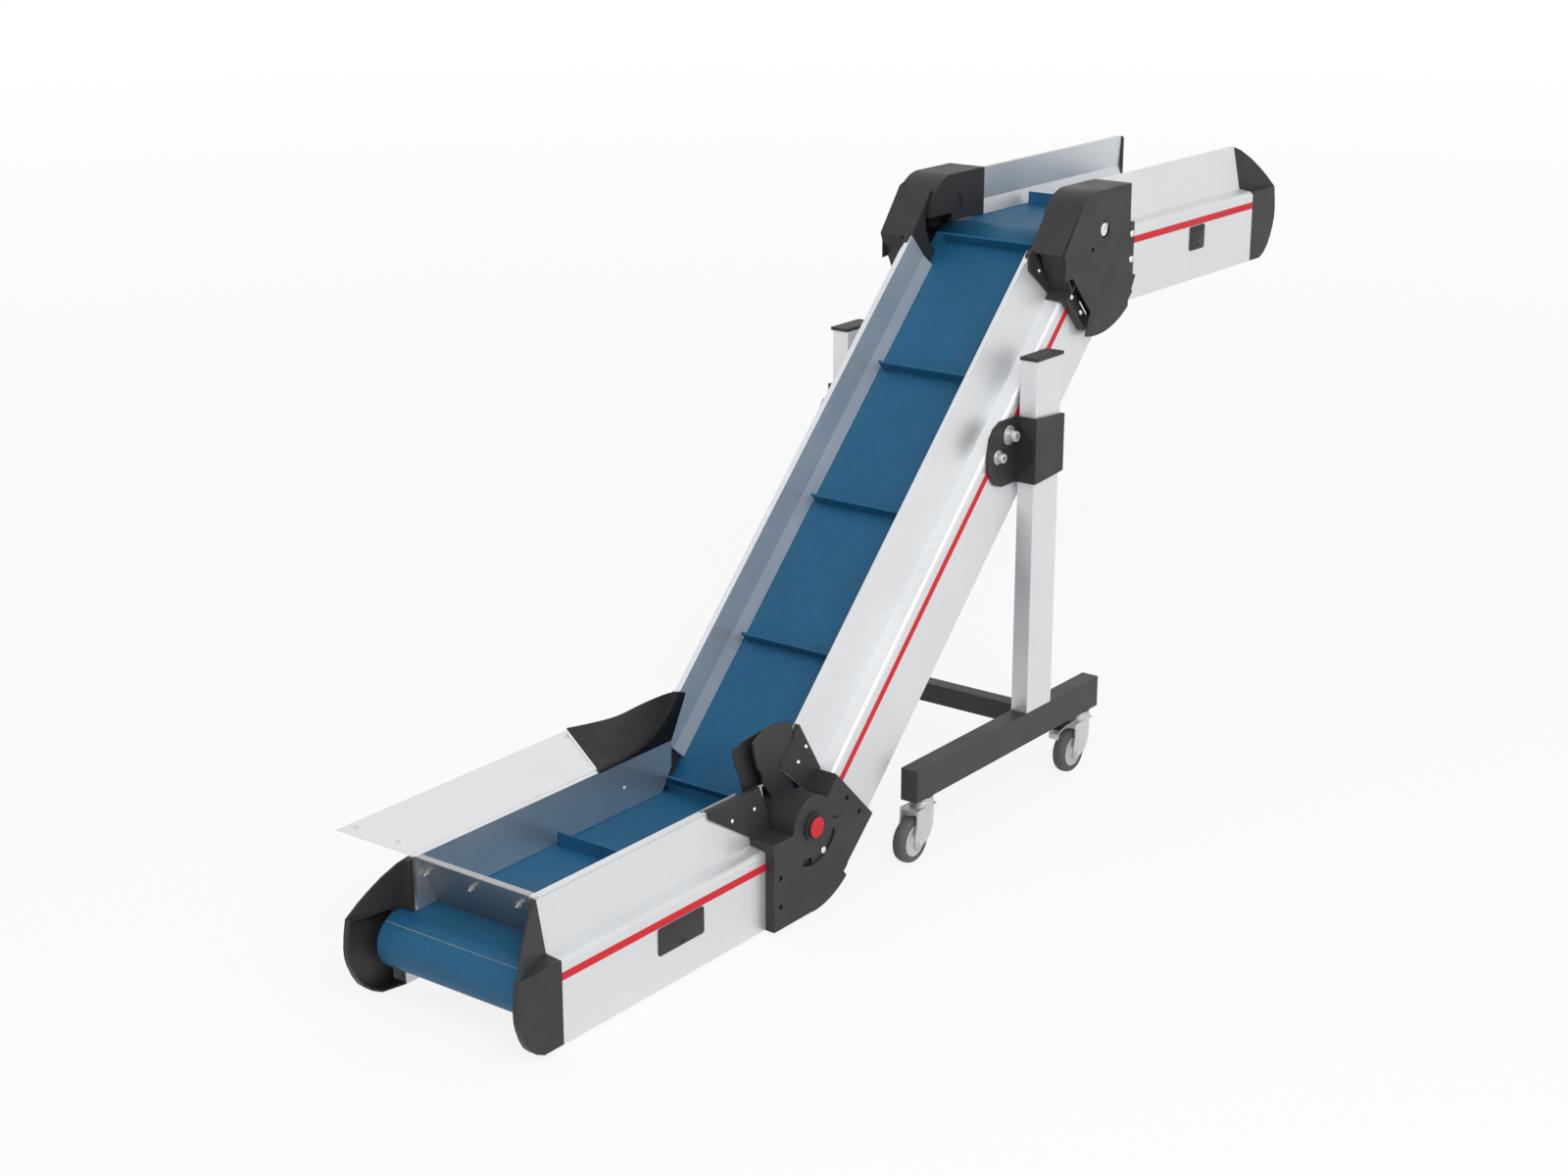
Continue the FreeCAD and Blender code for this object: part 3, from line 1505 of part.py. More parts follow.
# Castors: each fork swivels on its stem, and its wheel turns on its axle.
for name, side, along in CASTORS:
    swivel = f"(beam_start + {along})"
    axle_x = f"({swivel} - castor_trail)"
    middle = beam_middle(side)
    top = "(beam_bottom - fork_top_gap)"
    dome = cylinder(
        f"Dome{name}", swivel, middle, f"{top} - fork_dome_height", "fork_dome_radius",
        "fork_dome_height", False,
    )
    crown_bottom = f"({top} - fork_dome_height - fork_leg)"
    crown = box(
        f"Crown{name}",
        f"{axle_x} - 5",
        f"{middle} - fork_inner / 2 - fork_leg",
        crown_bottom,
        "castor_trail + fork_dome_radius + 2",
        "fork_inner + 2 * fork_leg",
        "fork_leg",
    )
    legs = []
    for mark, y in (("a", f"{middle} - fork_inner / 2 - fork_leg"), ("b", f"{middle} + fork_inner / 2")):
        outline = (
            (f"{axle_x} - 11", "wheel_radius - 3"),
            (f"{axle_x} - 10", "wheel_radius + 12"),
            (f"{axle_x} - 5", "wheel_radius + 40"),
            (f"{axle_x} - 5", f"{crown_bottom} + fork_leg"),
            (f"{swivel} + fork_dome_radius - 3", f"{crown_bottom} + fork_leg"),
            (f"{swivel} + fork_dome_radius - 2", "wheel_radius + 23"),
            (f"{swivel} + fork_dome_radius - 10", "wheel_radius + 8"),
            (f"{axle_x} + 29", "wheel_radius - 4"),
            (f"{axle_x} + 10", "wheel_radius - 10"),
            (f"{axle_x} - 5", "wheel_radius - 10"),
        )
        legs.append(outline_body(f"Leg{mark}{name}", "XZ_Plane", [outline], f"-({y})", "fork_leg", True))
    axle = cylinder(
        f"Axle{name}", axle_x, f"{middle} - fork_inner / 2 - fork_leg - 2", "wheel_radius",
        "wheel_axle_radius", "fork_inner + 2 * fork_leg + 4",
    )
    bore = cylinder(
        f"StemBore{name}", swivel, middle, "beam_bottom - stem_length - 1", "stem_radius + pivot_gap",
        "stem_length + 2", False,
    )
    whole = fuse(f"ForkWhole{name}", [dome, crown, axle] + legs)
    finished(cut(f"Fork{name}", whole, bore), f"castor_fork_{name}", "stand")

    hub = cylinder(
        f"HubDisc{name}", axle_x, f"{middle} - hub_width / 2", "wheel_radius", "hub_radius", "hub_width"
    )
    hole = cylinder(
        f"HubBore{name}", axle_x, f"{middle} - hub_width", "wheel_radius", "wheel_axle_radius + pivot_gap",
        "2 * hub_width",
    )
    finished(cut(f"Hub{name}", hub, hole), f"castor_hub_{name}", "stand")
    tread = cylinder(
        f"Tread{name}", axle_x, f"{middle} - tyre_width / 2", "wheel_radius", "wheel_radius", "tyre_width"
    )
    seat = cylinder(
        f"Seat{name}", axle_x, f"{middle} - tyre_width", "wheel_radius", "hub_radius", "2 * tyre_width"
    )
    finished(cut(f"Tyre{name}", tread, seat), f"castor_tyre_{name}", "stand")


doc.recompute()
for item in doc.Objects:
    if "Invalid" in item.State or "Error" in item.State:
        raise RuntimeError(f"{item.Name} did not build: {item.State}")
os.makedirs("parts", exist_ok=True)
for item in sub_parts:
    shape = item.Shape
    if shape.isNull() or not shape.isValid() or not shape.Solids:
        raise RuntimeError(f"{item.Label} has no valid solid")
    shape.exportStep(f"parts/{item.Label}.step")
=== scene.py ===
import json
import math

import bpy
from mathutils import Matrix, Vector


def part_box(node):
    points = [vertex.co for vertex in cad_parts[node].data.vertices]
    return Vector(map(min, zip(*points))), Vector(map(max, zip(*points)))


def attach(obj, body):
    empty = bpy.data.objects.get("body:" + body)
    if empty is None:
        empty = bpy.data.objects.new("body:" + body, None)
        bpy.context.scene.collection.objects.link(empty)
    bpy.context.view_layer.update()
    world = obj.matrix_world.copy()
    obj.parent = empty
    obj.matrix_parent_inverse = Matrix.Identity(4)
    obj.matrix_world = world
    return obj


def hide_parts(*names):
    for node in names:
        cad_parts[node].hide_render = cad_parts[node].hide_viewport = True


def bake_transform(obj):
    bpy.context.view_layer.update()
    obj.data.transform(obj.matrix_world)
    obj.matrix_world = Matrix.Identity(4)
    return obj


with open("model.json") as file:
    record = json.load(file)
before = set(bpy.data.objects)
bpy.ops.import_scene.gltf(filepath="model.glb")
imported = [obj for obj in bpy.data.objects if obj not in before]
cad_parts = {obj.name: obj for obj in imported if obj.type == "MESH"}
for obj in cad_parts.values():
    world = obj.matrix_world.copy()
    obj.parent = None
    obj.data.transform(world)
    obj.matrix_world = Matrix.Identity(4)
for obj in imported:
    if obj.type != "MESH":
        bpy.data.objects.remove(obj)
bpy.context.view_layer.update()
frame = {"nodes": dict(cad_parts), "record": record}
nodes = frame["nodes"]

NEAR, FAR = -1, 1
SIDES = (("near", NEAR), ("far", FAR))

# The conveyor's middle and width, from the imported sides.
near_low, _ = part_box("side_infeed_near")
_, far_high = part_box("side_infeed_far")
MIDDLE_Y = (near_low.y + far_high.y) / 2
HALF_WIDTH = (far_high.y - near_low.y) / 2

# The part's own measures in metres. Heights are counted from the underside of a straight run,
# and depths from the outer face of its side.
SLOPE = math.radians(45)
INFEED_LENGTH = 0.6443
DISCHARGE_LENGTH = 0.5477
RISE = 0.838
INCLINE_RUN = RISE / math.sin(SLOPE)
UNDERSIDE = 0.0076
PIVOT_HEIGHT = 0.1475
PIVOT_BACK = PIVOT_HEIGHT * math.tan(SLOPE / 2)
LOW_PIVOT = INFEED_LENGTH - PIVOT_BACK
BELT_LEVEL = 0.1305
LEDGE_HEIGHT = 0.137
LEAN_TOP = 0.2166
BODY_DEPTH = 0.030
LEAN_DEPTH = 0.0462
HOOD_DEPTH = 0.0565


class Section:
    """A straight run of the conveyor: along it, up from its underside, in from a side's face."""

    def __init__(self, body, x, z, slope):
        self.body = body
        turn = Matrix.Rotation(-slope, 4, "Y")
        self.matrix = Matrix.Translation((near_low.x + x, MIDDLE_Y, near_low.z + z)) @ turn

    def point(self, along, up, depth, side):
        return self.matrix @ Vector((along, side * (HALF_WIDTH - depth), up))

    def direction(self, along, up, inwards, side):
        return (self.matrix.to_3x3() @ Vector((along, -side * inwards, up))).normalized()


INFEED = Section("infeed", 0, 0, 0)
INCLINE = Section("incline", INFEED_LENGTH, 0, SLOPE)
DISCHARGE = Section("discharge", INFEED_LENGTH + RISE / math.tan(SLOPE), RISE, 0)
# The carriage has no run of its own, so its heights are counted from the floor.
CARRIAGE = Section("carriage", 0, -UNDERSIDE, 0)


class Amount:
    """What comes out of a node, so that sums are written as sums."""

    def __init__(self, graph, socket):
        self.graph = graph
        self.socket = socket

    def maths(self, operation, *terms):
        return self.graph.node("ShaderNodeMath", {"operation": operation}, terms)

    def __add__(self, other):
        return self.maths("ADD", self, other)

    def __rsub__(self, other):
        return self.maths("SUBTRACT", other, self)

    def __mul__(self, other):
        return self.maths("MULTIPLY", self, other)

    __radd__ = __add__
    __rmul__ = __mul__


class Graph:
    """A node tree in which one method makes every node."""

    def __init__(self, tree):
        self.tree = tree

    def node(self, kind, settings={}, sockets={}, output=0):
        made = self.tree.nodes.new(kind)
        for setting, choice in settings.items():
            setattr(made, setting, choice)
        filled = sockets.items() if isinstance(sockets, dict) else enumerate(sockets)
        for key, amount in filled:
            if isinstance(amount, Amount):
                self.tree.links.new(amount.socket, made.inputs[key])
            else:
                made.inputs[key].default_value = amount
        return Amount(self, made.outputs[output])

    def seen(self):
        """1 for rays from the camera, also by way of metal or glass, and 0 for all others."""
        share = self.node("ShaderNodeLightPath", output="Is Camera Ray")
        for kind in ("Is Glossy Ray", "Is Transmission Ray"):
            share = share.maths("MAXIMUM", share, self.node("ShaderNodeLightPath", output=kind))
        return share

    def end_with(self, output_node, share, first, second):
        """Lets the whole tree come out as a blend of two shaders."""
        blend = self.node("ShaderNodeMixShader", sockets=(share, first, second))
        self.tree.links.new(blend.socket, self.tree.nodes[output_node].inputs["Surface"])


class Finish(Graph):
    """One material of the conveyor."""

    def __init__(self, name, colour, roughness, metallic=0.0, gloss=0.5):
        self.material = bpy.data.materials.new(name)
        self.material.use_nodes = True
        super().__init__(self.material.node_tree)
        self.shader = self.tree.nodes["Principled BSDF"]
        self.shader.inputs["Base Color"].default_value = (*colour, 1)
        self.shader.inputs["Roughness"].default_value = roughness
        self.shader.inputs["Metallic"].default_value = metallic
        self.shader.inputs["Specular IOR Level"].default_value = gloss
        self.place = self.node("ShaderNodeTexCoord", output="Object")

    def feed(self, socket, amount):
        self.tree.links.new(amount.socket, self.shader.inputs[socket])

    def noise(self, scale, detail, place=None):
        """Noise about 0.5, with the size of its patches given as patches to the metre."""
        sockets = {"Vector": place or self.place, "Scale": scale, "Detail": detail}
        return self.node("ShaderNodeTexNoise", sockets=sockets)

    def stretched(self, along, across, up):
        sockets = {"Vector": self.place, "Scale": (along, across, up)}
        return self.node("ShaderNodeMapping", {"vector_type": "POINT"}, sockets)

    def spread(self, amount, low, high):
        """Stretches what lies between two levels to the whole range from 0 to 1."""
        sockets = {"Value": amount, "From Min": low, "From Max": high}
        return self.node("ShaderNodeMapRange", {"clamp": True}, sockets)

    def patches(self, scale, detail, low=0.3, high=0.7):
        return self.spread(self.noise(scale, detail), low, high)

    def mix(self, share, first, second):
        sockets = {0: share, 6: (*first, 1), 7: (*second, 1)}
        return self.node("ShaderNodeMix", {"data_type": "RGBA"}, sockets, output=2)

    def mottle(self, fleck, cloud, first, second):
        """Varies the colour between two by fine flecks and, less so, by wide clouds."""
        self.feed("Base Color", self.mix(0.7 * fleck + 0.3 * cloud, first, second))

    def bump(self, height, depth, strength):
        sockets = {"Strength": strength, "Distance": depth, "Height": height}
        self.feed("Normal", self.node("ShaderNodeBump", sockets=sockets))


def shade(colour, share):
    return tuple(channel * share for channel in colour)


def coated_metal(name, colour, roughness, metallic=0.0, speckle=0.14, gloss=0.5):
    """Metal under a satin coat with a fine speckle and a faint orange peel."""
    finish = Finish(name, colour, roughness, metallic, gloss)
    grain = 500
    fleck = finish.patches(grain, 3)
    cloud = finish.patches(9, 3)
    finish.mottle(fleck, cloud, shade(colour, 1 - speckle), colour)
    finish.feed("Roughness", roughness - 0.05 + 0.1 * cloud)
    finish.bump(finish.noise(grain / 2, 3), 0.00006, 0.35)
    return finish


def moulding(name, colour, roughness, gloss=0.4):
    """Moulding with a spark-eroded grain and rubbed patches."""
    finish = Finish(name, colour, roughness, gloss=gloss)
    rubbed = finish.patches(14, 4, 0.45, 0.75)
    finish.feed("Base Color", finish.mix(rubbed, colour, shade(colour, 1.25)))
    finish.feed("Roughness", roughness - 0.09 * rubbed + 0.05 * finish.noise(700, 2))
    finish.bump(finish.noise(2300, 2), 0.00008, 0.4)
    return finish


def belting(name, colour, roughness):
    """Coated belt: a matt top with a fine cloth print and a sheen where parts have slid."""
    finish = Finish(name, colour, roughness, gloss=0.35)
    cloud = finish.patches(11, 4)
    fleck = finish.patches(450, 2)
    finish.mottle(fleck, cloud, shade(colour, 0.7), shade(colour, 1.2))
    finish.feed("Roughness", roughness + 0.1 * cloud)
    finish.bump(finish.noise(1500, 2), 0.0001, 0.4)
    return finish


def bare_metal(name, colour, roughness, metallic=1.0):
    """Plated or drawn metal, with streaks along X."""
    finish = Finish(name, colour, roughness, metallic)
    streak = 0.12
    drawn = finish.noise(60, 4, finish.stretched(0.3, 12, 12))
    finish.feed("Base Color", finish.mix(finish.patches(40, 3), shade(colour, 0.9), colour))
    finish.feed("Roughness", roughness - streak / 2 + streak * drawn)
    finish.bump(drawn, 0.00004, 0.3)
    return finish


WHITE = (0.80, 0.815, 0.83)
white = coated_metal("white_coated_aluminium", WHITE, 0.42, 0.65)
sheet = coated_metal("hopper_sheet_metal", WHITE, 0.32, 0.86)
# Painted shade: the white coat darkened for the hopper's front, standing in for its shade and the
# dark belt's reflection.
painted_shade_sheet = coated_metal("hopper_front_painted_shade", shade(WHITE, 0.55), 0.3, 0.9)
powder_black = coated_metal("black_powder_coat", (0.033, 0.033, 0.034), 0.5, speckle=0.25)
black = moulding("black_moulding", (0.024, 0.024, 0.025), 0.52)
# The guard's black is partly its own black moulding and partly painted shade: darker than the
# other mouldings, for its side turned from the light.
guard_shaded_black = moulding("black_guard_painted_shade", (0.006, 0.007, 0.008), 0.6, gloss=0.2)
belt = belting("blue_belt", (0.010, 0.108, 0.225), 0.5)
steel = bare_metal("bed_steel", (0.5, 0.5, 0.5), 0.4)
zinc = bare_metal("zinc_plate", (0.66, 0.66, 0.645), 0.44, metallic=0.75)
bright = bare_metal("bright_screw", (0.86, 0.86, 0.85), 0.22)
hub = moulding("grey_hub", (0.55, 0.55, 0.54), 0.5)
tyre = moulding("grey_tyre", (0.095, 0.095, 0.088), 0.65)
red = coated_metal("red_stripe", (0.68, 0.014, 0.024), 0.5, speckle=0.05, gloss=0.3)
tan = moulding("belt_seam", (0.26, 0.27, 0.27), 0.6)

BY_SLOT = {
    "white_metal": white,
    "black_plastic": black,
    "black_metal": powder_black,
    "belt_blue": belt,
    "steel": steel,
    "castor_grey": zinc,
    "hub_grey": hub,
    "tyre_grey": tyre,
}


def paint(piece, finish):
    piece.data.materials.clear()
    piece.data.materials.append(finish.material)


slot_of = {part["node"]: part["material_slot"] for part in frame["record"]["subparts"]}
body_of = {
    node: body
    for body, members in frame["record"]["behaviour"]["bodies"].items()
    for node in members
}
for node, slot in slot_of.items():
    paint(nodes[node], BY_SLOT[slot])
paint(nodes["hopper_far"], sheet)
# The hopper's front takes the darkened white coat, as painted shade.
paint(nodes["hopper_front"], painted_shade_sheet)


# Ways of making a piece.
MERGE_DISTANCE = 0.000002
NODE_MERGE_DISTANCE = 0.000005


def alone(piece):
    bpy.ops.object.select_all(action="DESELECT")
    piece.select_set(True)
    bpy.context.view_layer.objects.active = piece


def edit(piece):
    """Opens a piece's mesh with all of it selected."""
    alone(piece)
    bpy.ops.object.mode_set(mode="EDIT")
    bpy.ops.mesh.select_all(action="SELECT")


def done():
    bpy.ops.object.mode_set(mode="OBJECT")


def added(primitive, **settings):
    """Adds one of Blender's plain shapes."""
    bpy.ops.object.select_all(action="DESELECT")
    primitive(**settings)
    return bpy.context.object


def applied(piece, kind, **settings):
    """Puts a modifier on a piece and applies it."""
    alone(piece)
    modifier = piece.modifiers.new(kind.lower(), kind)
    for setting, choice in settings.items():
        setattr(modifier, setting, choice)
    bpy.ops.object.modifier_apply(modifier=modifier.name)


def smooth(piece, angle=35):
    """Shades the faces smooth where they meet at less than an angle in degrees."""
    alone(piece)
    bpy.ops.object.shade_smooth_by_angle(angle=math.radians(angle))
    return piece


def rounded(piece, width, segments=2, angle=35):
    """Rounds the sharp edges and shades the faces smooth between them."""
    applied(
        piece, "BEVEL", width=width, segments=segments, limit_method="ANGLE",
        angle_limit=math.radians(angle), use_clamp_overlap=True, harden_normals=False,
    )
    smooth(piece, angle)
    applied(piece, "WEIGHTED_NORMAL", keep_sharp=True)
    return piece


def faced_out(piece):
    edit(piece)
    bpy.ops.mesh.normals_make_consistent(inside=False)
    done()
    return piece


def settle(piece, matrix=Matrix.Identity(4)):
    """Moves the mesh itself to its place, and leaves the object at the origin."""
    piece.data.transform(matrix @ piece.matrix_world)
    piece.matrix_world = Matrix.Identity(4)
    return piece


def copied(piece, matrix=Matrix.Identity(4)):
    twin = piece.copy()
    twin.data = piece.data.copy()
    bpy.context.collection.objects.link(twin)
    return settle(twin, matrix)


def joined(name, pieces):
    bpy.ops.object.select_all(action="DESELECT")
    for piece in pieces:
        piece.select_set(True)
    bpy.context.view_layer.objects.active = pieces[0]
    bpy.ops.object.join()
    pieces[0].name = name
    return pieces[0]


def discard(pieces):
    for piece in pieces:
        bpy.data.objects.remove(piece)


def bitten(piece, tool):
    """Cuts a tool's shape out of a piece."""
    applied(piece, "BOOLEAN", solver="EXACT", object=tool)
    discard([tool])
    return piece


def cut_plate(outline, low, high):
    """A flat piece with an outline in X and Z, between two places on Y."""
    piece = added(bpy.ops.mesh.primitive_circle_add, vertices=len(outline), fill_type="NGON")
    for corner, (x, z) in zip(piece.data.vertices, outline):
        corner.co = (x, low, z)
    edit(piece)
    bpy.ops.mesh.extrude_region_move(TRANSFORM_OT_translate={"value": (0, high - low, 0)})
    done()
    return faced_out(piece)


def turned(profile, steps):
    """A piece turned about Z from a closed profile of radius and height."""
    piece = added(bpy.ops.mesh.primitive_circle_add, vertices=len(profile), fill_type="NOTHING")
    for corner, (radius, height) in zip(piece.data.vertices, profile):
        corner.co = (radius, 0, height)
    edit(piece)
    bpy.ops.mesh.spin(steps=steps, angle=2 * math.pi, center=(0, 0, 0), axis=(0, 0, 1))
    bpy.ops.mesh.select_all(action="SELECT")
    bpy.ops.mesh.remove_doubles(threshold=MERGE_DISTANCE)
    bpy.ops.mesh.delete_loose()
    done()
    return faced_out(piece)


def hexagon(radius, low, high):
    """A straight piece with six sides, between two heights on Z."""
    middle = (0, 0, (low + high) / 2)
    return settle(added(
        bpy.ops.mesh.primitive_cylinder_add, vertices=6, radius=radius, depth=high - low,
        location=middle,
    ))


def block(low, high, width, segments):
    """A block between two corners, with edges rounded to a width."""
    middle = [(a + b) / 2 for a, b in zip(low, high)]
    piece = added(bpy.ops.mesh.primitive_cube_add, size=1, location=middle)
    edit(piece)
    bpy.ops.transform.resize(value=[abs(b - a) for a, b in zip(low, high)])
    done()
    return rounded(settle(piece), width, segments)


def facing(place, direction):
    """Stands a piece on its place with its Z along a direction."""
    turn = Vector(direction).to_track_quat("Z", "Y").to_matrix().to_4x4()
    return Matrix.Translation(place) @ turn


def dressed(piece, name, body, finish):
    piece.name = name
    paint(piece, finish)
    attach(piece, body)


def laid(name, section, low, high, width, segments, finish, place=Matrix.Identity(4)):
    """A rounded block on a section."""
    piece = block(low, high, width, segments)
    settle(piece, section.matrix @ place)
    dressed(piece, name, section.body, finish)


def stand_in(piece, node, finish=None):
    """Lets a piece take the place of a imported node."""
    slot = slot_of[node]
    dressed(piece, node + "_form", body_of[node], finish or BY_SLOT[slot])
    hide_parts(node)


def reworked(node, operation, **settings):
    """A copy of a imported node, its doubled corners merged, after an operation on its mesh."""
    piece = copied(nodes[node])
    piece.parent = None
    edit(piece)
    bpy.ops.mesh.remove_doubles(threshold=NODE_MERGE_DISTANCE)
    bpy.ops.mesh.select_all(action="SELECT")
    operation(**settings)
    done()
    return piece


def softened(node, width, segments=2):
    """Rounds a node's sharp edges as in a real mould, once its flat faces are whole."""
    flat = math.radians(0.6)
    piece = reworked(node, bpy.ops.mesh.dissolve_limited, angle_limit=flat)
    stand_in(rounded(piece, width, segments, 28), node)


for place, _ in SIDES:
    for kind in (
        "tail_cap", "head_cap", "knuckle_low_infeed", "knuckle_low_incline",
        "knuckle_high_discharge", "knuckle_high_incline", "post_cap", "bracket",
    ):
        softened(f"{kind}_{place}", 0.0009)
for place, _ in SIDES:
    softened(f"beam_{place}", 0.002, 3)
    softened(f"post_{place}", 0.0012)
softened("cross_beam", 0.002, 3)


# Red stripes along the sides' outer faces.
STRIPE_FOOT, STRIPE_TOP = 0.1018, 0.1145
STRIPE_SUNK, STRIPE_PROUD = 0.0003, 0.0004
for section, start, end in (
    (INFEED, 0, LOW_PIVOT - 0.053),
    (INCLINE, PIVOT_BACK + 0.057, INCLINE_RUN - 0.0433),
    (DISCHARGE, 0.0443, DISCHARGE_LENGTH),
):
    for place, side in SIDES:
        face = side * HALF_WIDTH
        laid(
            f"stripe_{section.body}_{place}", section,
            (start, face - side * STRIPE_SUNK, STRIPE_FOOT),
            (end, face + side * STRIPE_PROUD, STRIPE_TOP),
            0.0002, 1, red,
        )


# Fasteners, each modelled once with its seat at Z = 0.
def socket_head(radius, height):
    head = turned(
        ((0, 0), (radius, 0), (radius, 0.86 * height), (0.9 * radius, height), (0, height)), 28
    )
    return smooth(bitten(head, hexagon(0.52 * radius, 0.45 * height, 1.2 * height)))


def domed_head(radius):
    shares = ((0, 0), (1, 0), (1, 0.2), (0.88, 0.42), (0.62, 0.58), (0.3, 0.66), (0, 0.68))
    head = turned([(out * radius, up * radius) for out, up in shares], 20)
    return smooth(bitten(head, hexagon(0.42 * radius, 0.3 * radius, radius)))


def washer(inner, outer, height):
    edge = 0.25 * height
    return smooth(turned(
        ((inner, 0), (outer, 0), (outer, height - edge), (outer - edge, height), (inner, height)),
        32,
    ))


def nut_on_stud(radius, height, stud, reach):
    nut = rounded(hexagon(radius, 0, height), 0.0004)
    bolt = turned(
        ((0, 0), (stud, 0), (stud, reach - 0.4 * stud), (0.6 * stud, reach), (0, reach)), 16
    )
    return joined("nut", [nut, smooth(bolt)])


small_screw = domed_head(0.0036)
plate_screw = domed_head(0.0062)
lock_bolt = domed_head(0.0064)
clamp_head = socket_head(0.0095, 0.0150)
clamp_washer = washer(0.0040, 0.0170, 0.0025)
guide_head = socket_head(0.0085, 0.0120)
guide_washer = washer(0.0040, 0.0125, 0.0022)
panel_nut = nut_on_stud(0.0052, 0.0040, 0.0028, 0.0095)
hinge_head = socket_head(0.0116, 0.0040)

# Ways that a fastener faces, along a section, up and inwards.
OUTWARDS = (0, 0, -1)
LEANING = (0, 0.2, -0.98)
TAILWARDS = (-0.943, -0.331, 0)
UPWARDS = (0, 1, 0)
INWARDS = (0, 0, 1)


def lean(up, proud):
    """The depth of the leaning wall's outer face at a height, less what stands proud of it."""
    share = (up - LEDGE_HEIGHT) * (LEAN_DEPTH - BODY_DEPTH) / (LEAN_TOP - LEDGE_HEIGHT)
    return BODY_DEPTH + share - proud


def fasten(pattern, name, section, along, up, depth, outwards, side, finish=bright):
    """Sets a copy of a fastener on a side of a section."""
    place = section.point(along, up, depth, side)
    piece = copied(pattern, facing(place, section.direction(*outwards, side)))
    dressed(piece, name, section.body, finish)


def set_in(profile, steps, name, section, along, up, depth, side, body, finish=black):
    """Sets a turned moulding on a side of a section."""
    place = section.point(along, up, depth, side)
    piece = turned(profile, steps)
    settle(piece, facing(place, section.direction(*OUTWARDS, side)))
    dressed(smooth(piece), name, body, finish)


FLAP = 0.0040
HINGE_BACK = -0.0435
WINDOW_OFFSET = 0.018
TRAY_SCREWS = INCLINE_RUN - 0.0615
FLAP_SCREWS = (
    (INFEED, 0.443, 0.190),
    (INFEED, 0.500, 0.191),
    (INCLINE, 0.174, 0.187),
    (INCLINE, 0.145, 0.187),
    (INCLINE, INCLINE_RUN - 0.0595, 0.185),
)
CUP = (
    (0, -0.034), (0.0146, -0.034), (0.0146, 0.0040), (0.0138, 0.0040), (0.0138, 0.0026),
    (0, 0.0026),
)
# A thin black disc set deep in the hood: painted shade behind the upper knuckle's window.
WINDOW_SHADE_DISC = ((0, 0), (0.0175, 0), (0.0175, 0.0007), (0.0172, 0.0010), (0, 0.0010))
BUTTON = ((0, -0.0006), (0.0172, -0.0006), (0.0172, 0.0004), (0.0164, 0.0011), (0, 0.0013))
SLOT_BOSS = ((0, 0), (0.0180, 0), (0.0180, 0.0096), (0.0172, 0.0102), (0, 0.0102))
SLEEVE_BOLTS = (
    ("clamp_washer", clamp_washer, 1.1593, 0.6782, -0.0054),
    ("clamp_head", clamp_head, 1.1593, 0.6782, -0.0078),
    ("guide_washer", guide_washer, 1.1249, 0.6462, -0.0054),
    ("guide_head", guide_head, 1.1249, 0.6462, -0.0075),
)
for place, side in SIDES:
    for i, (section, along, up) in enumerate(FLAP_SCREWS):
        name = f"flap_screw_{i}_{place}"
        fasten(small_screw, name, section, along, up, lean(up, FLAP), LEANING, side)
    fasten(
        lock_bolt, f"lock_bolt_{place}", INCLINE, PIVOT_BACK - 0.0156, PIVOT_HEIGHT - 0.058,
        -0.0147, OUTWARDS, side,
    )
    for i, up in enumerate((0.1187, 0.0717)):
        name = f"tray_screw_{i}_{place}"
        fasten(plate_screw, name, INCLINE, TRAY_SCREWS, up, -0.0030, OUTWARDS, side)

    # The upper knuckle's hinge bolt in its cup, and a thin black disc deep behind its window, as
    # painted shade.
    fasten(
        hinge_head, f"hinge_bolt_{place}", DISCHARGE, HINGE_BACK, PIVOT_HEIGHT, -0.0125,
        OUTWARDS, side,
    )
    set_in(
        CUP, 40, f"hinge_cup_{place}", DISCHARGE, HINGE_BACK, PIVOT_HEIGHT, -0.0100, side,
        "discharge",
    )
    # Painted shade: the black disc behind the window.
    set_in(
        WINDOW_SHADE_DISC, 40, f"window_shade_disc_{place}", DISCHARGE, WINDOW_OFFSET - PIVOT_BACK,
        PIVOT_HEIGHT + WINDOW_OFFSET, HOOD_DEPTH, side, "discharge",
    )
    for i, up in enumerate((0.127, 0.081)):
        name = f"cover_screw_{i}_{place}"
        fasten(plate_screw, name, DISCHARGE, 0.050, up, -0.0177, OUTWARDS, side)
    for name, pattern, along, up, depth in SLEEVE_BOLTS:
        fasten(pattern, f"{name}_{place}", CARRIAGE, along, up, depth, OUTWARDS, side, zinc)

    # The lower knuckle's red button, and a dark boss behind the open end of its curved slot.
    set_in(
        BUTTON, 40, f"button_{place}", INFEED, LOW_PIVOT, PIVOT_HEIGHT, -0.0257, side,
        "infeed", red,
    )
    set_in(
        SLOT_BOSS, 32, f"slot_boss_{place}", INFEED, LOW_PIVOT - 0.0120, 0.0885, -0.0002, side,
        "incline",
    )

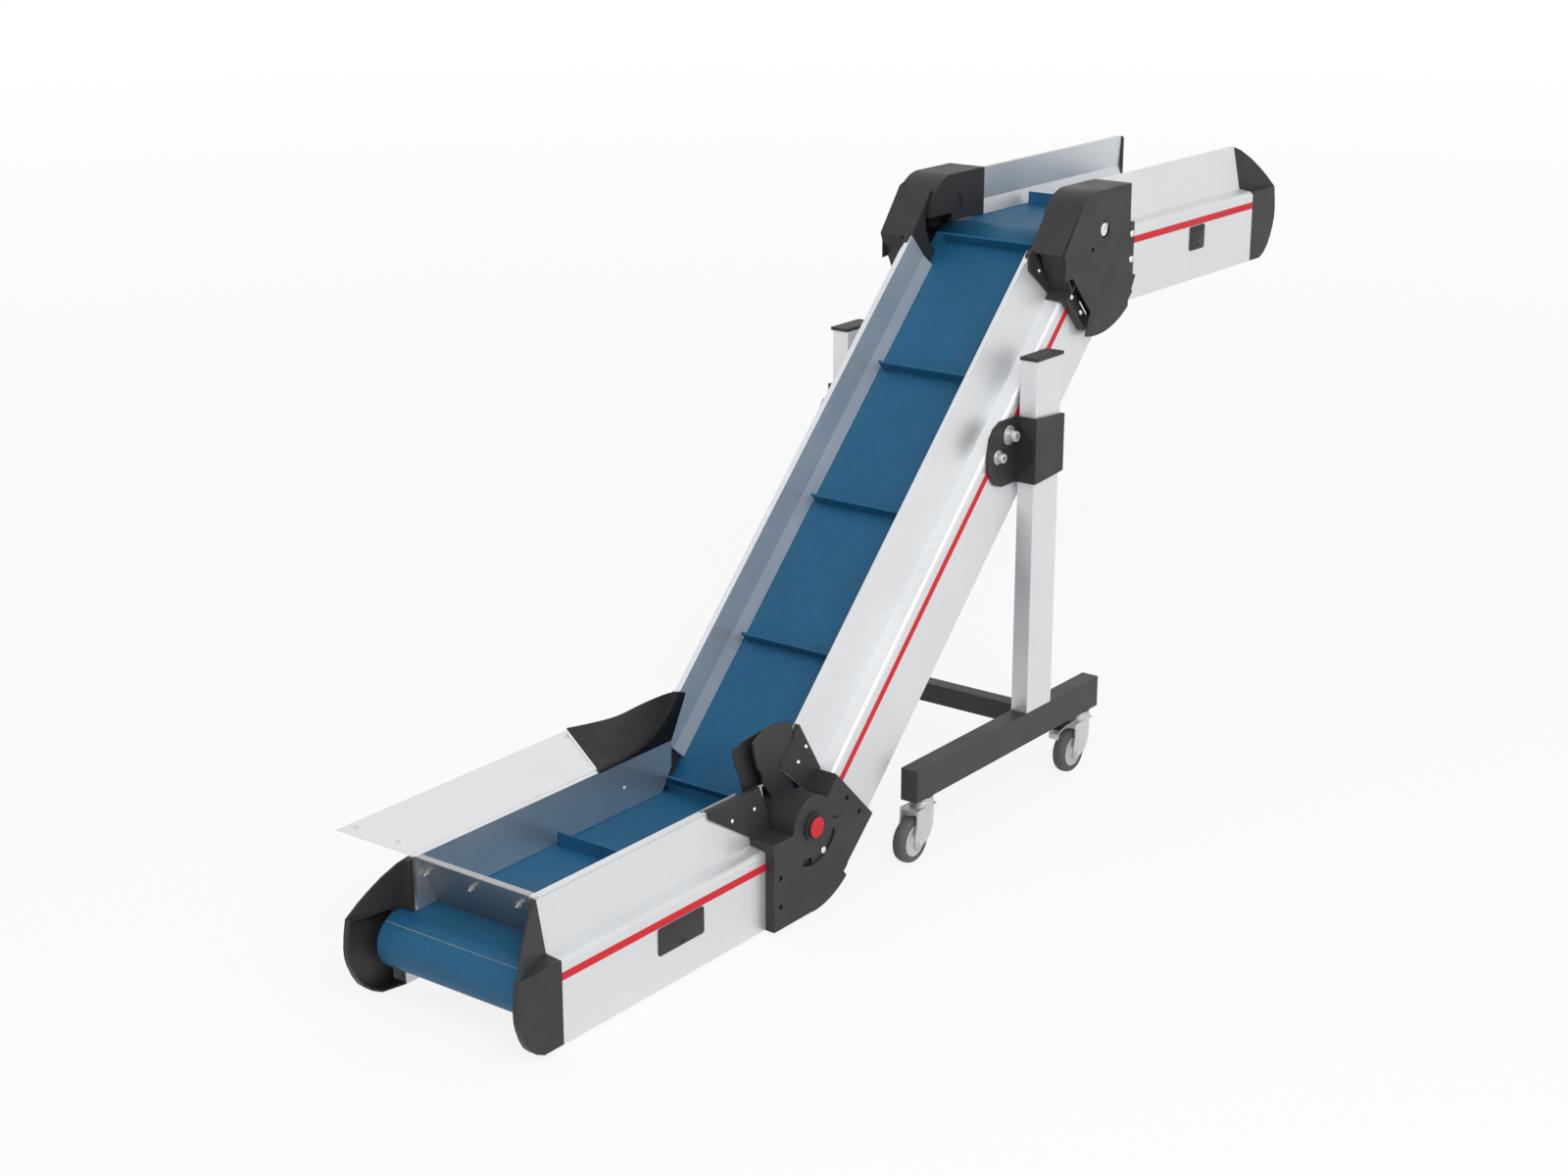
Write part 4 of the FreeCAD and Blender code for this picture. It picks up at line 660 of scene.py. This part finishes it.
# The hopper's nuts, and the screws of its flare, far sheet and near hem.
for i, across in enumerate((0.0981, 0.1925, 0.2846)):
    fasten(panel_nut, f"panel_nut_{i}", INFEED, 0.0222, 0.188, across, TAILWARDS, NEAR, zinc)
for i, (along, out) in enumerate(((0.025, 0.265), (0.026, 0.175), (0.505, 0.262))):
    fasten(
        small_screw, f"flare_screw_{i}", INFEED, along, LEAN_TOP + 0.0018, HALF_WIDTH - out,
        UPWARDS, FAR, zinc,
    )
fasten(small_screw, "sheet_screw", INFEED, 0.4797, 0.1712, 0.0608, INWARDS, FAR, zinc)
for i, along in enumerate((0.009, 0.019)):
    fasten(
        small_screw, f"hem_screw_{i}", INFEED, along, LEAN_TOP + 0.0024, 0.0490, UPWARDS, NEAR,
        white,
    )
discard((
    small_screw, plate_screw, lock_bolt, clamp_head, clamp_washer, guide_head, guide_washer,
    panel_nut, hinge_head,
))


# Castors: a swivel head with two rings, a formed fork, a hub and a rounded tyre.
TRAIL = 0.0325
WHEEL_HEIGHT = 0.040
CROWN_TOP, CROWN_THICK = 0.0959, 0.003
LEG_IN, LEG_OUT = 0.0155, 0.0185


def mirrored_profile(half):
    """A turned section from its upper half, given from the middle outwards."""
    return list(half) + [(radius, -height) for radius, height in reversed(half)]


def fork_leg(side):
    """One leg, with its back edge formed inwards round the swivel head."""
    outline = (
        (-0.011, 0), (-0.0105, 0.006), (-0.0095, 0.014), (-0.0065, 0.030), (-0.005, 0.042),
        (-0.005, 0.0559), (0.0525, 0.0559), (0.0545, 0.040), (0.0540, 0.026), (0.0510, 0.016),
        (0.0450, 0.008), (0.036, 0.001), (0.024, -0.006), (0.012, -0.0095), (0, -0.0105),
        (-0.006, -0.009), (-0.0098, -0.005),
    )
    outline = [(x - TRAIL, z + WHEEL_HEIGHT) for x, z in outline]
    leg = cut_plate(outline, LEG_IN, LEG_OUT)
    crease, back, cuts = -TRAIL + 0.011, -TRAIL + 0.0545, 6
    for cut in range(cuts):
        edit(leg)
        place = crease + (back - crease) * cut / cuts
        bpy.ops.mesh.bisect(plane_co=(place, 0, 0), plane_no=(1, 0, 0))
        done()
    for corner in leg.data.vertices:
        if corner.co.x > crease:
            share = (corner.co.x - crease) / (back - crease)
            corner.co.y -= 0.0004 + 0.0075 * share ** 2.2
        corner.co.y *= side
    return smooth(faced_out(leg), 30)


def castor_fork():
    rings = turned((
        (0.0062, 0.1099), (0.0192, 0.1099), (0.0200, 0.1092), (0.0200, 0.1076),
        (0.0184, 0.1066), (0.0184, 0.1050), (0.0200, 0.1044), (0.0207, 0.1034),
        (0.0207, 0.1016), (0.0202, 0.1006), (0.0200, 0.1000), (0.0200, 0.0950),
        (0.0062, 0.0950),
    ), 40)
    crown = block(
        (-TRAIL - 0.005, -LEG_OUT, CROWN_TOP - CROWN_THICK), (0.0200, LEG_OUT, CROWN_TOP),
        0.0012, 3,
    )
    pieces = [smooth(rings), crown, fork_leg(1), fork_leg(-1)]
    for side in (1, -1):
        boss = turned((
            (0.002, 0), (0.0085, 0), (0.0085, 0.0006), (0.0078, 0.0012), (0.002, 0.0012),
        ), 28)
        nut = nut_on_stud(0.0068, 0.0030, 0.0030, 0.0037)
        for piece, out in ((boss, 0.0183), (nut, 0.0192)):
            place = facing((-TRAIL, side * out, WHEEL_HEIGHT), (0, side, 0))
            pieces.append(settle(smooth(piece), place))
    return joined("castor_fork", pieces)


hub_pattern = smooth(turned(mirrored_profile((
    (0.0280, 0.0100), (0.0272, 0.0112), (0.0255, 0.0118), (0.0240, 0.0112), (0.0225, 0.0100),
    (0.0120, 0.0104), (0.0105, 0.0140), (0.0095, 0.0145), (0.00505, 0.0145),
)), 56))
tyre_pattern = smooth(turned(mirrored_profile((
    (0.0400, 0.0022), (0.0394, 0.0060), (0.0377, 0.0096), (0.0350, 0.0118), (0.0318, 0.0125),
    (0.0294, 0.0120), (0.0281, 0.0104),
)), 72), 60)
fork_pattern = castor_fork()
lever_pattern = rounded(cut_plate((
    (-0.026, 0.0985), (-0.058, 0.0972), (-0.080, 0.0925), (-0.0862, 0.088), (-0.0872, 0.078),
    (-0.0855, 0.078), (-0.0842, 0.0868), (-0.079, 0.0905), (-0.058, 0.0952), (-0.026, 0.0965),
), -0.0100, 0.0100), 0.0006)
pad_pattern = rounded(cut_plate((
    (-0.040, 0.0972), (-0.058, 0.0968), (-0.078, 0.0925), (-0.078, 0.0952), (-0.060, 0.0996),
    (-0.040, 0.1003),
), -0.0082, 0.0082), 0.0012, 3)
for corner in ("front_near", "front_far", "rear_near", "rear_far"):
    low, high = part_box(f"castor_tyre_{corner}")
    middle = (low + high) / 2
    on_swivel = Matrix.Translation((middle.x + TRAIL, middle.y, 0))
    on_axle = Matrix.Translation(middle) @ Matrix.Rotation(math.radians(90), 4, "X")
    for pattern, kind, matrix in (
        (fork_pattern, "castor_fork", on_swivel),
        (hub_pattern, "castor_hub", on_axle),
        (tyre_pattern, "castor_tyre", on_axle),
    ):
        stand_in(copied(pattern, matrix), f"{kind}_{corner}")
    if corner.startswith("rear"):
        for pattern, kind, finish, slot in (
            (lever_pattern, "brake", zinc, "castor_grey"),
            (pad_pattern, "brake_pad", black, "black_plastic"),
        ):
            pedal = copied(pattern, on_swivel)
            dressed(pedal, f"{kind}_{corner}", f"castor_{corner}", finish)
discard((hub_pattern, tyre_pattern, fork_pattern, lever_pattern, pad_pattern))


# Covers over the belt adjusters, with rounded corners and a finger notch near the foot.
COVER_PROUD = 0.0005
CORNER_RADIUS = 0.0045
for node in ("cover_infeed", "cover_discharge"):
    low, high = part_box(node)
    middle = (low + high) / 2
    outline = []
    for x, z, start in (
        (high.x, high.z, 0), (low.x, high.z, 90), (low.x, low.z, 180), (high.x, low.z, 270),
    ):
        centre_x = x - math.copysign(CORNER_RADIUS, x - middle.x)
        centre_z = z - math.copysign(CORNER_RADIUS, z - middle.z)
        for turn in range(0, 91, 18):
            angle = math.radians(start + turn)
            outline.append((
                centre_x + CORNER_RADIUS * math.cos(angle),
                centre_z + CORNER_RADIUS * math.sin(angle),
            ))
    piece = rounded(cut_plate(outline, low.y, high.y + COVER_PROUD), 0.0006)
    notch = cut_plate((
        (middle.x - 0.007, low.z + 0.004), (middle.x + 0.007, low.z + 0.006),
        (middle.x + 0.003, low.z + 0.013),
    ), low.y - 0.002, low.y + 0.0012)
    stand_in(bitten(piece, notch), node)


# The belt's bends at the knuckles: copies of the imported bends, subdivided once and shaded
# smooth.
for node, first, second in (
    ("belt_bend_low", "infeed", "incline"),
    ("belt_bend_high", "incline", "discharge"),
):
    low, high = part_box(node)
    bend = reworked(node, bpy.ops.mesh.subdivide, number_cuts=1)
    bend.name = node + "_form"
    paint(bend, belt)
    start, end = (low.x, MIDDLE_Y, low.z), (high.x, MIDDLE_Y, high.z)
    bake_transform(smooth(bend))
    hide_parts(node)


# The cleat that is just turning over the upper knuckle.
CLEAT_DEPTH = 0.066
laid(
    "belt_cleat_bend", INCLINE, (-0.0020, CLEAT_DEPTH - HALF_WIDTH, 0),
    (0.0020, HALF_WIDTH - CLEAT_DEPTH, 0.0265), 0.0012, 3, belt,
    Matrix.Translation((1.196, 0, BELT_LEVEL - 0.0015)),
)


# Bright rims along the upper edges of the walls, where the sheet is folded over.
RIM_WIDTH = 0.0045
RIM_SUNK, RIM_PROUD = 0.0004, 0.0026
RIM_EDGE = HALF_WIDTH - LEAN_DEPTH
for place, side in SIDES:
    for section, start, end in (
        (INFEED, 0.010, LOW_PIVOT - 0.012),
        (INCLINE, PIVOT_BACK + 0.088, INCLINE_RUN - 0.070),
    ):
        laid(
            f"rim_{section.body}_{place}", section,
            (start, side * RIM_EDGE, LEAN_TOP - RIM_SUNK),
            (end, side * (RIM_EDGE - RIM_WIDTH), LEAN_TOP + RIM_PROUD),
            0.0009, 2, white,
        )


# The bright bar beside the screws of the upper knuckle's tray.
BAR_FACE = HALF_WIDTH + 0.0124
BAR_TURN = Matrix.Rotation(math.radians(2.2), 4, "Y")
for place, side in SIDES:
    face = side * BAR_FACE
    laid(
        f"tray_bar_{place}", INCLINE, (-0.0014, face, 0), (0.0014, face + side * 0.0012, 0.0365),
        0.0003, 2, bright, Matrix.Translation((TRAY_SCREWS, 0, 0.0675)) @ BAR_TURN,
    )


# The belt's joint, a thin welded line just past the top of the tail drum.
SEAM_TURN = Matrix.Rotation(math.radians(-35), 4, "Y")
laid(
    "belt_seam", INFEED, (-0.0005, -0.1405, -0.0003), (0.0005, 0.1405, 0.0002), 0.0001, 1, tan,
    Matrix.Translation((-0.0404, 0, 0.1224)) @ SEAM_TURN,
)


# The hopper's moulded guard: one smooth sheet that turns from flat, beside the flare, to upright.
GUARD_LENGTH = 0.1843
GUARD_START = LOW_PIVOT - 0.1675
GUARD_FOOT = LEAN_TOP + 0.001
GUARD_IN = HALF_WIDTH - 0.0611
GUARD_OUT = 0.2827
# Each row across the sheet, in shares of its length: where the fold is, where the crest is and
# how high, where the outer edge is and how high; then the edge's share of the way outwards.
GUARD_ROWS = (
    (0.01, 0.01, 0.019, 0.613, 0.019, 1),
    (0.293, 0.298, 0.024, 1.064, 0.024, 0.78),
    (0.564, 0.586, 0.049, 1.069, 0.168, 0.56),
    (0.781, 0.934, 0.222, 1.042, 0.375, 0.18),
    (0.917, 1.031, 0.32, 1.107, 0.44, 0.024),
    (0.998, 1.172, 0.32, 1.21, 0.396, 0),
)
guard = added(
    bpy.ops.mesh.primitive_grid_add, x_subdivisions=len(GUARD_ROWS) - 1, y_subdivisions=4
)
rows = []
for fold_x, crest_x, crest_rise, edge_x, edge_rise, reach in GUARD_ROWS:
    edge_y = GUARD_IN + reach * (GUARD_OUT - GUARD_IN)
    fold = Vector((fold_x * GUARD_LENGTH, GUARD_IN, 0))
    crest = Vector((crest_x * GUARD_LENGTH, GUARD_IN, crest_rise * GUARD_LENGTH))
    edge = Vector((edge_x * GUARD_LENGTH, edge_y, edge_rise * GUARD_LENGTH))
    rows.append((fold, fold.lerp(crest, 0.5), crest, crest.lerp(edge, 0.5), edge))
for i, corner in enumerate(guard.data.vertices):
    across, along = divmod(i, len(rows))
    corner.co = rows[along][across] + Vector((GUARD_START, 0, GUARD_FOOT))
faced_out(guard)
applied(guard, "SUBSURF", levels=3, render_levels=3, boundary_smooth="PRESERVE_CORNERS")
applied(guard, "SOLIDIFY", thickness=0.002, offset=0)
settle(smooth(guard, 50), INFEED.matrix)
# The guard takes the darker black, with its painted shade.
stand_in(guard, "hopper_guard", guard_shaded_black)


# Studio: a pale floor, a white surround and one soft lamp.
PURE_WHITE = (1, 1, 1, 1)
FLOOR_SIZE = 300
FLOOR_SEEN_NEAR, FLOOR_SEEN_GAIN = 0.86, 0.14
SKY_STRENGTH = 0.62
KEY_PLACE, KEY_TARGET = (-2.2, -3.0, 3.6), (0, 0, 0.5)
KEY_SIZE, KEY_POWER = 2.5, 95
CAMERA_PLACE = (-3.5136, -2.4961, 1.8000)
CAMERA_TURN = (71.996, 0.040, -52.917)
CAMERA_LENS, CAMERA_SENSOR = 59.56, 36

floor = added(bpy.ops.mesh.primitive_plane_add, size=FLOOR_SIZE)
floor.name = "floor"
pale = Finish("pale_floor", (0.86, 0.86, 0.86), 0.9)
floor.data.materials.append(pale.material)

# To the camera the floor glows, a little under white near the conveyor and white far off.
glow = pale.node("ShaderNodeEmission", sockets={"Color": PURE_WHITE, "Strength": 1})
distance = pale.node("ShaderNodeVectorMath", {"operation": "LENGTH"}, (pale.place,), "Value")
far_share = pale.spread(distance, 2.0, 12.0)
faded = pale.seen() * (FLOOR_SEEN_NEAR + FLOOR_SEEN_GAIN * far_share)
pale.end_with("Material Output", faded, Amount(pale, pale.shader.outputs[0]), glow)

# The surround is plain white to the camera and dimmer as a light.
world = bpy.data.worlds.new("surround")
bpy.context.scene.world = world
world.use_nodes = True
surround = Graph(world.node_tree)
sky = world.node_tree.nodes["Background"]
sky.inputs["Color"].default_value = PURE_WHITE
sky.inputs["Strength"].default_value = SKY_STRENGTH
backdrop = surround.node("ShaderNodeBackground", sockets={"Color": PURE_WHITE, "Strength": 1})
surround.end_with("World Output", surround.seen(), Amount(surround, sky.outputs[0]), backdrop)

bpy.ops.object.light_add(type="AREA", location=KEY_PLACE)
key = bpy.context.object
key.name = "key"
key.data.size = KEY_SIZE
key.data.energy = KEY_POWER
key_aim = Vector(KEY_TARGET) - Vector(KEY_PLACE)
key.rotation_euler = key_aim.to_track_quat("-Z", "Y").to_euler()

bpy.ops.object.camera_add(
    location=CAMERA_PLACE, rotation=[math.radians(turn) for turn in CAMERA_TURN]
)
camera = bpy.context.object
camera.data.lens = CAMERA_LENS
camera.data.sensor_width = CAMERA_SENSOR
bpy.context.scene.camera = camera
bpy.context.scene.view_settings.view_transform = "Standard"
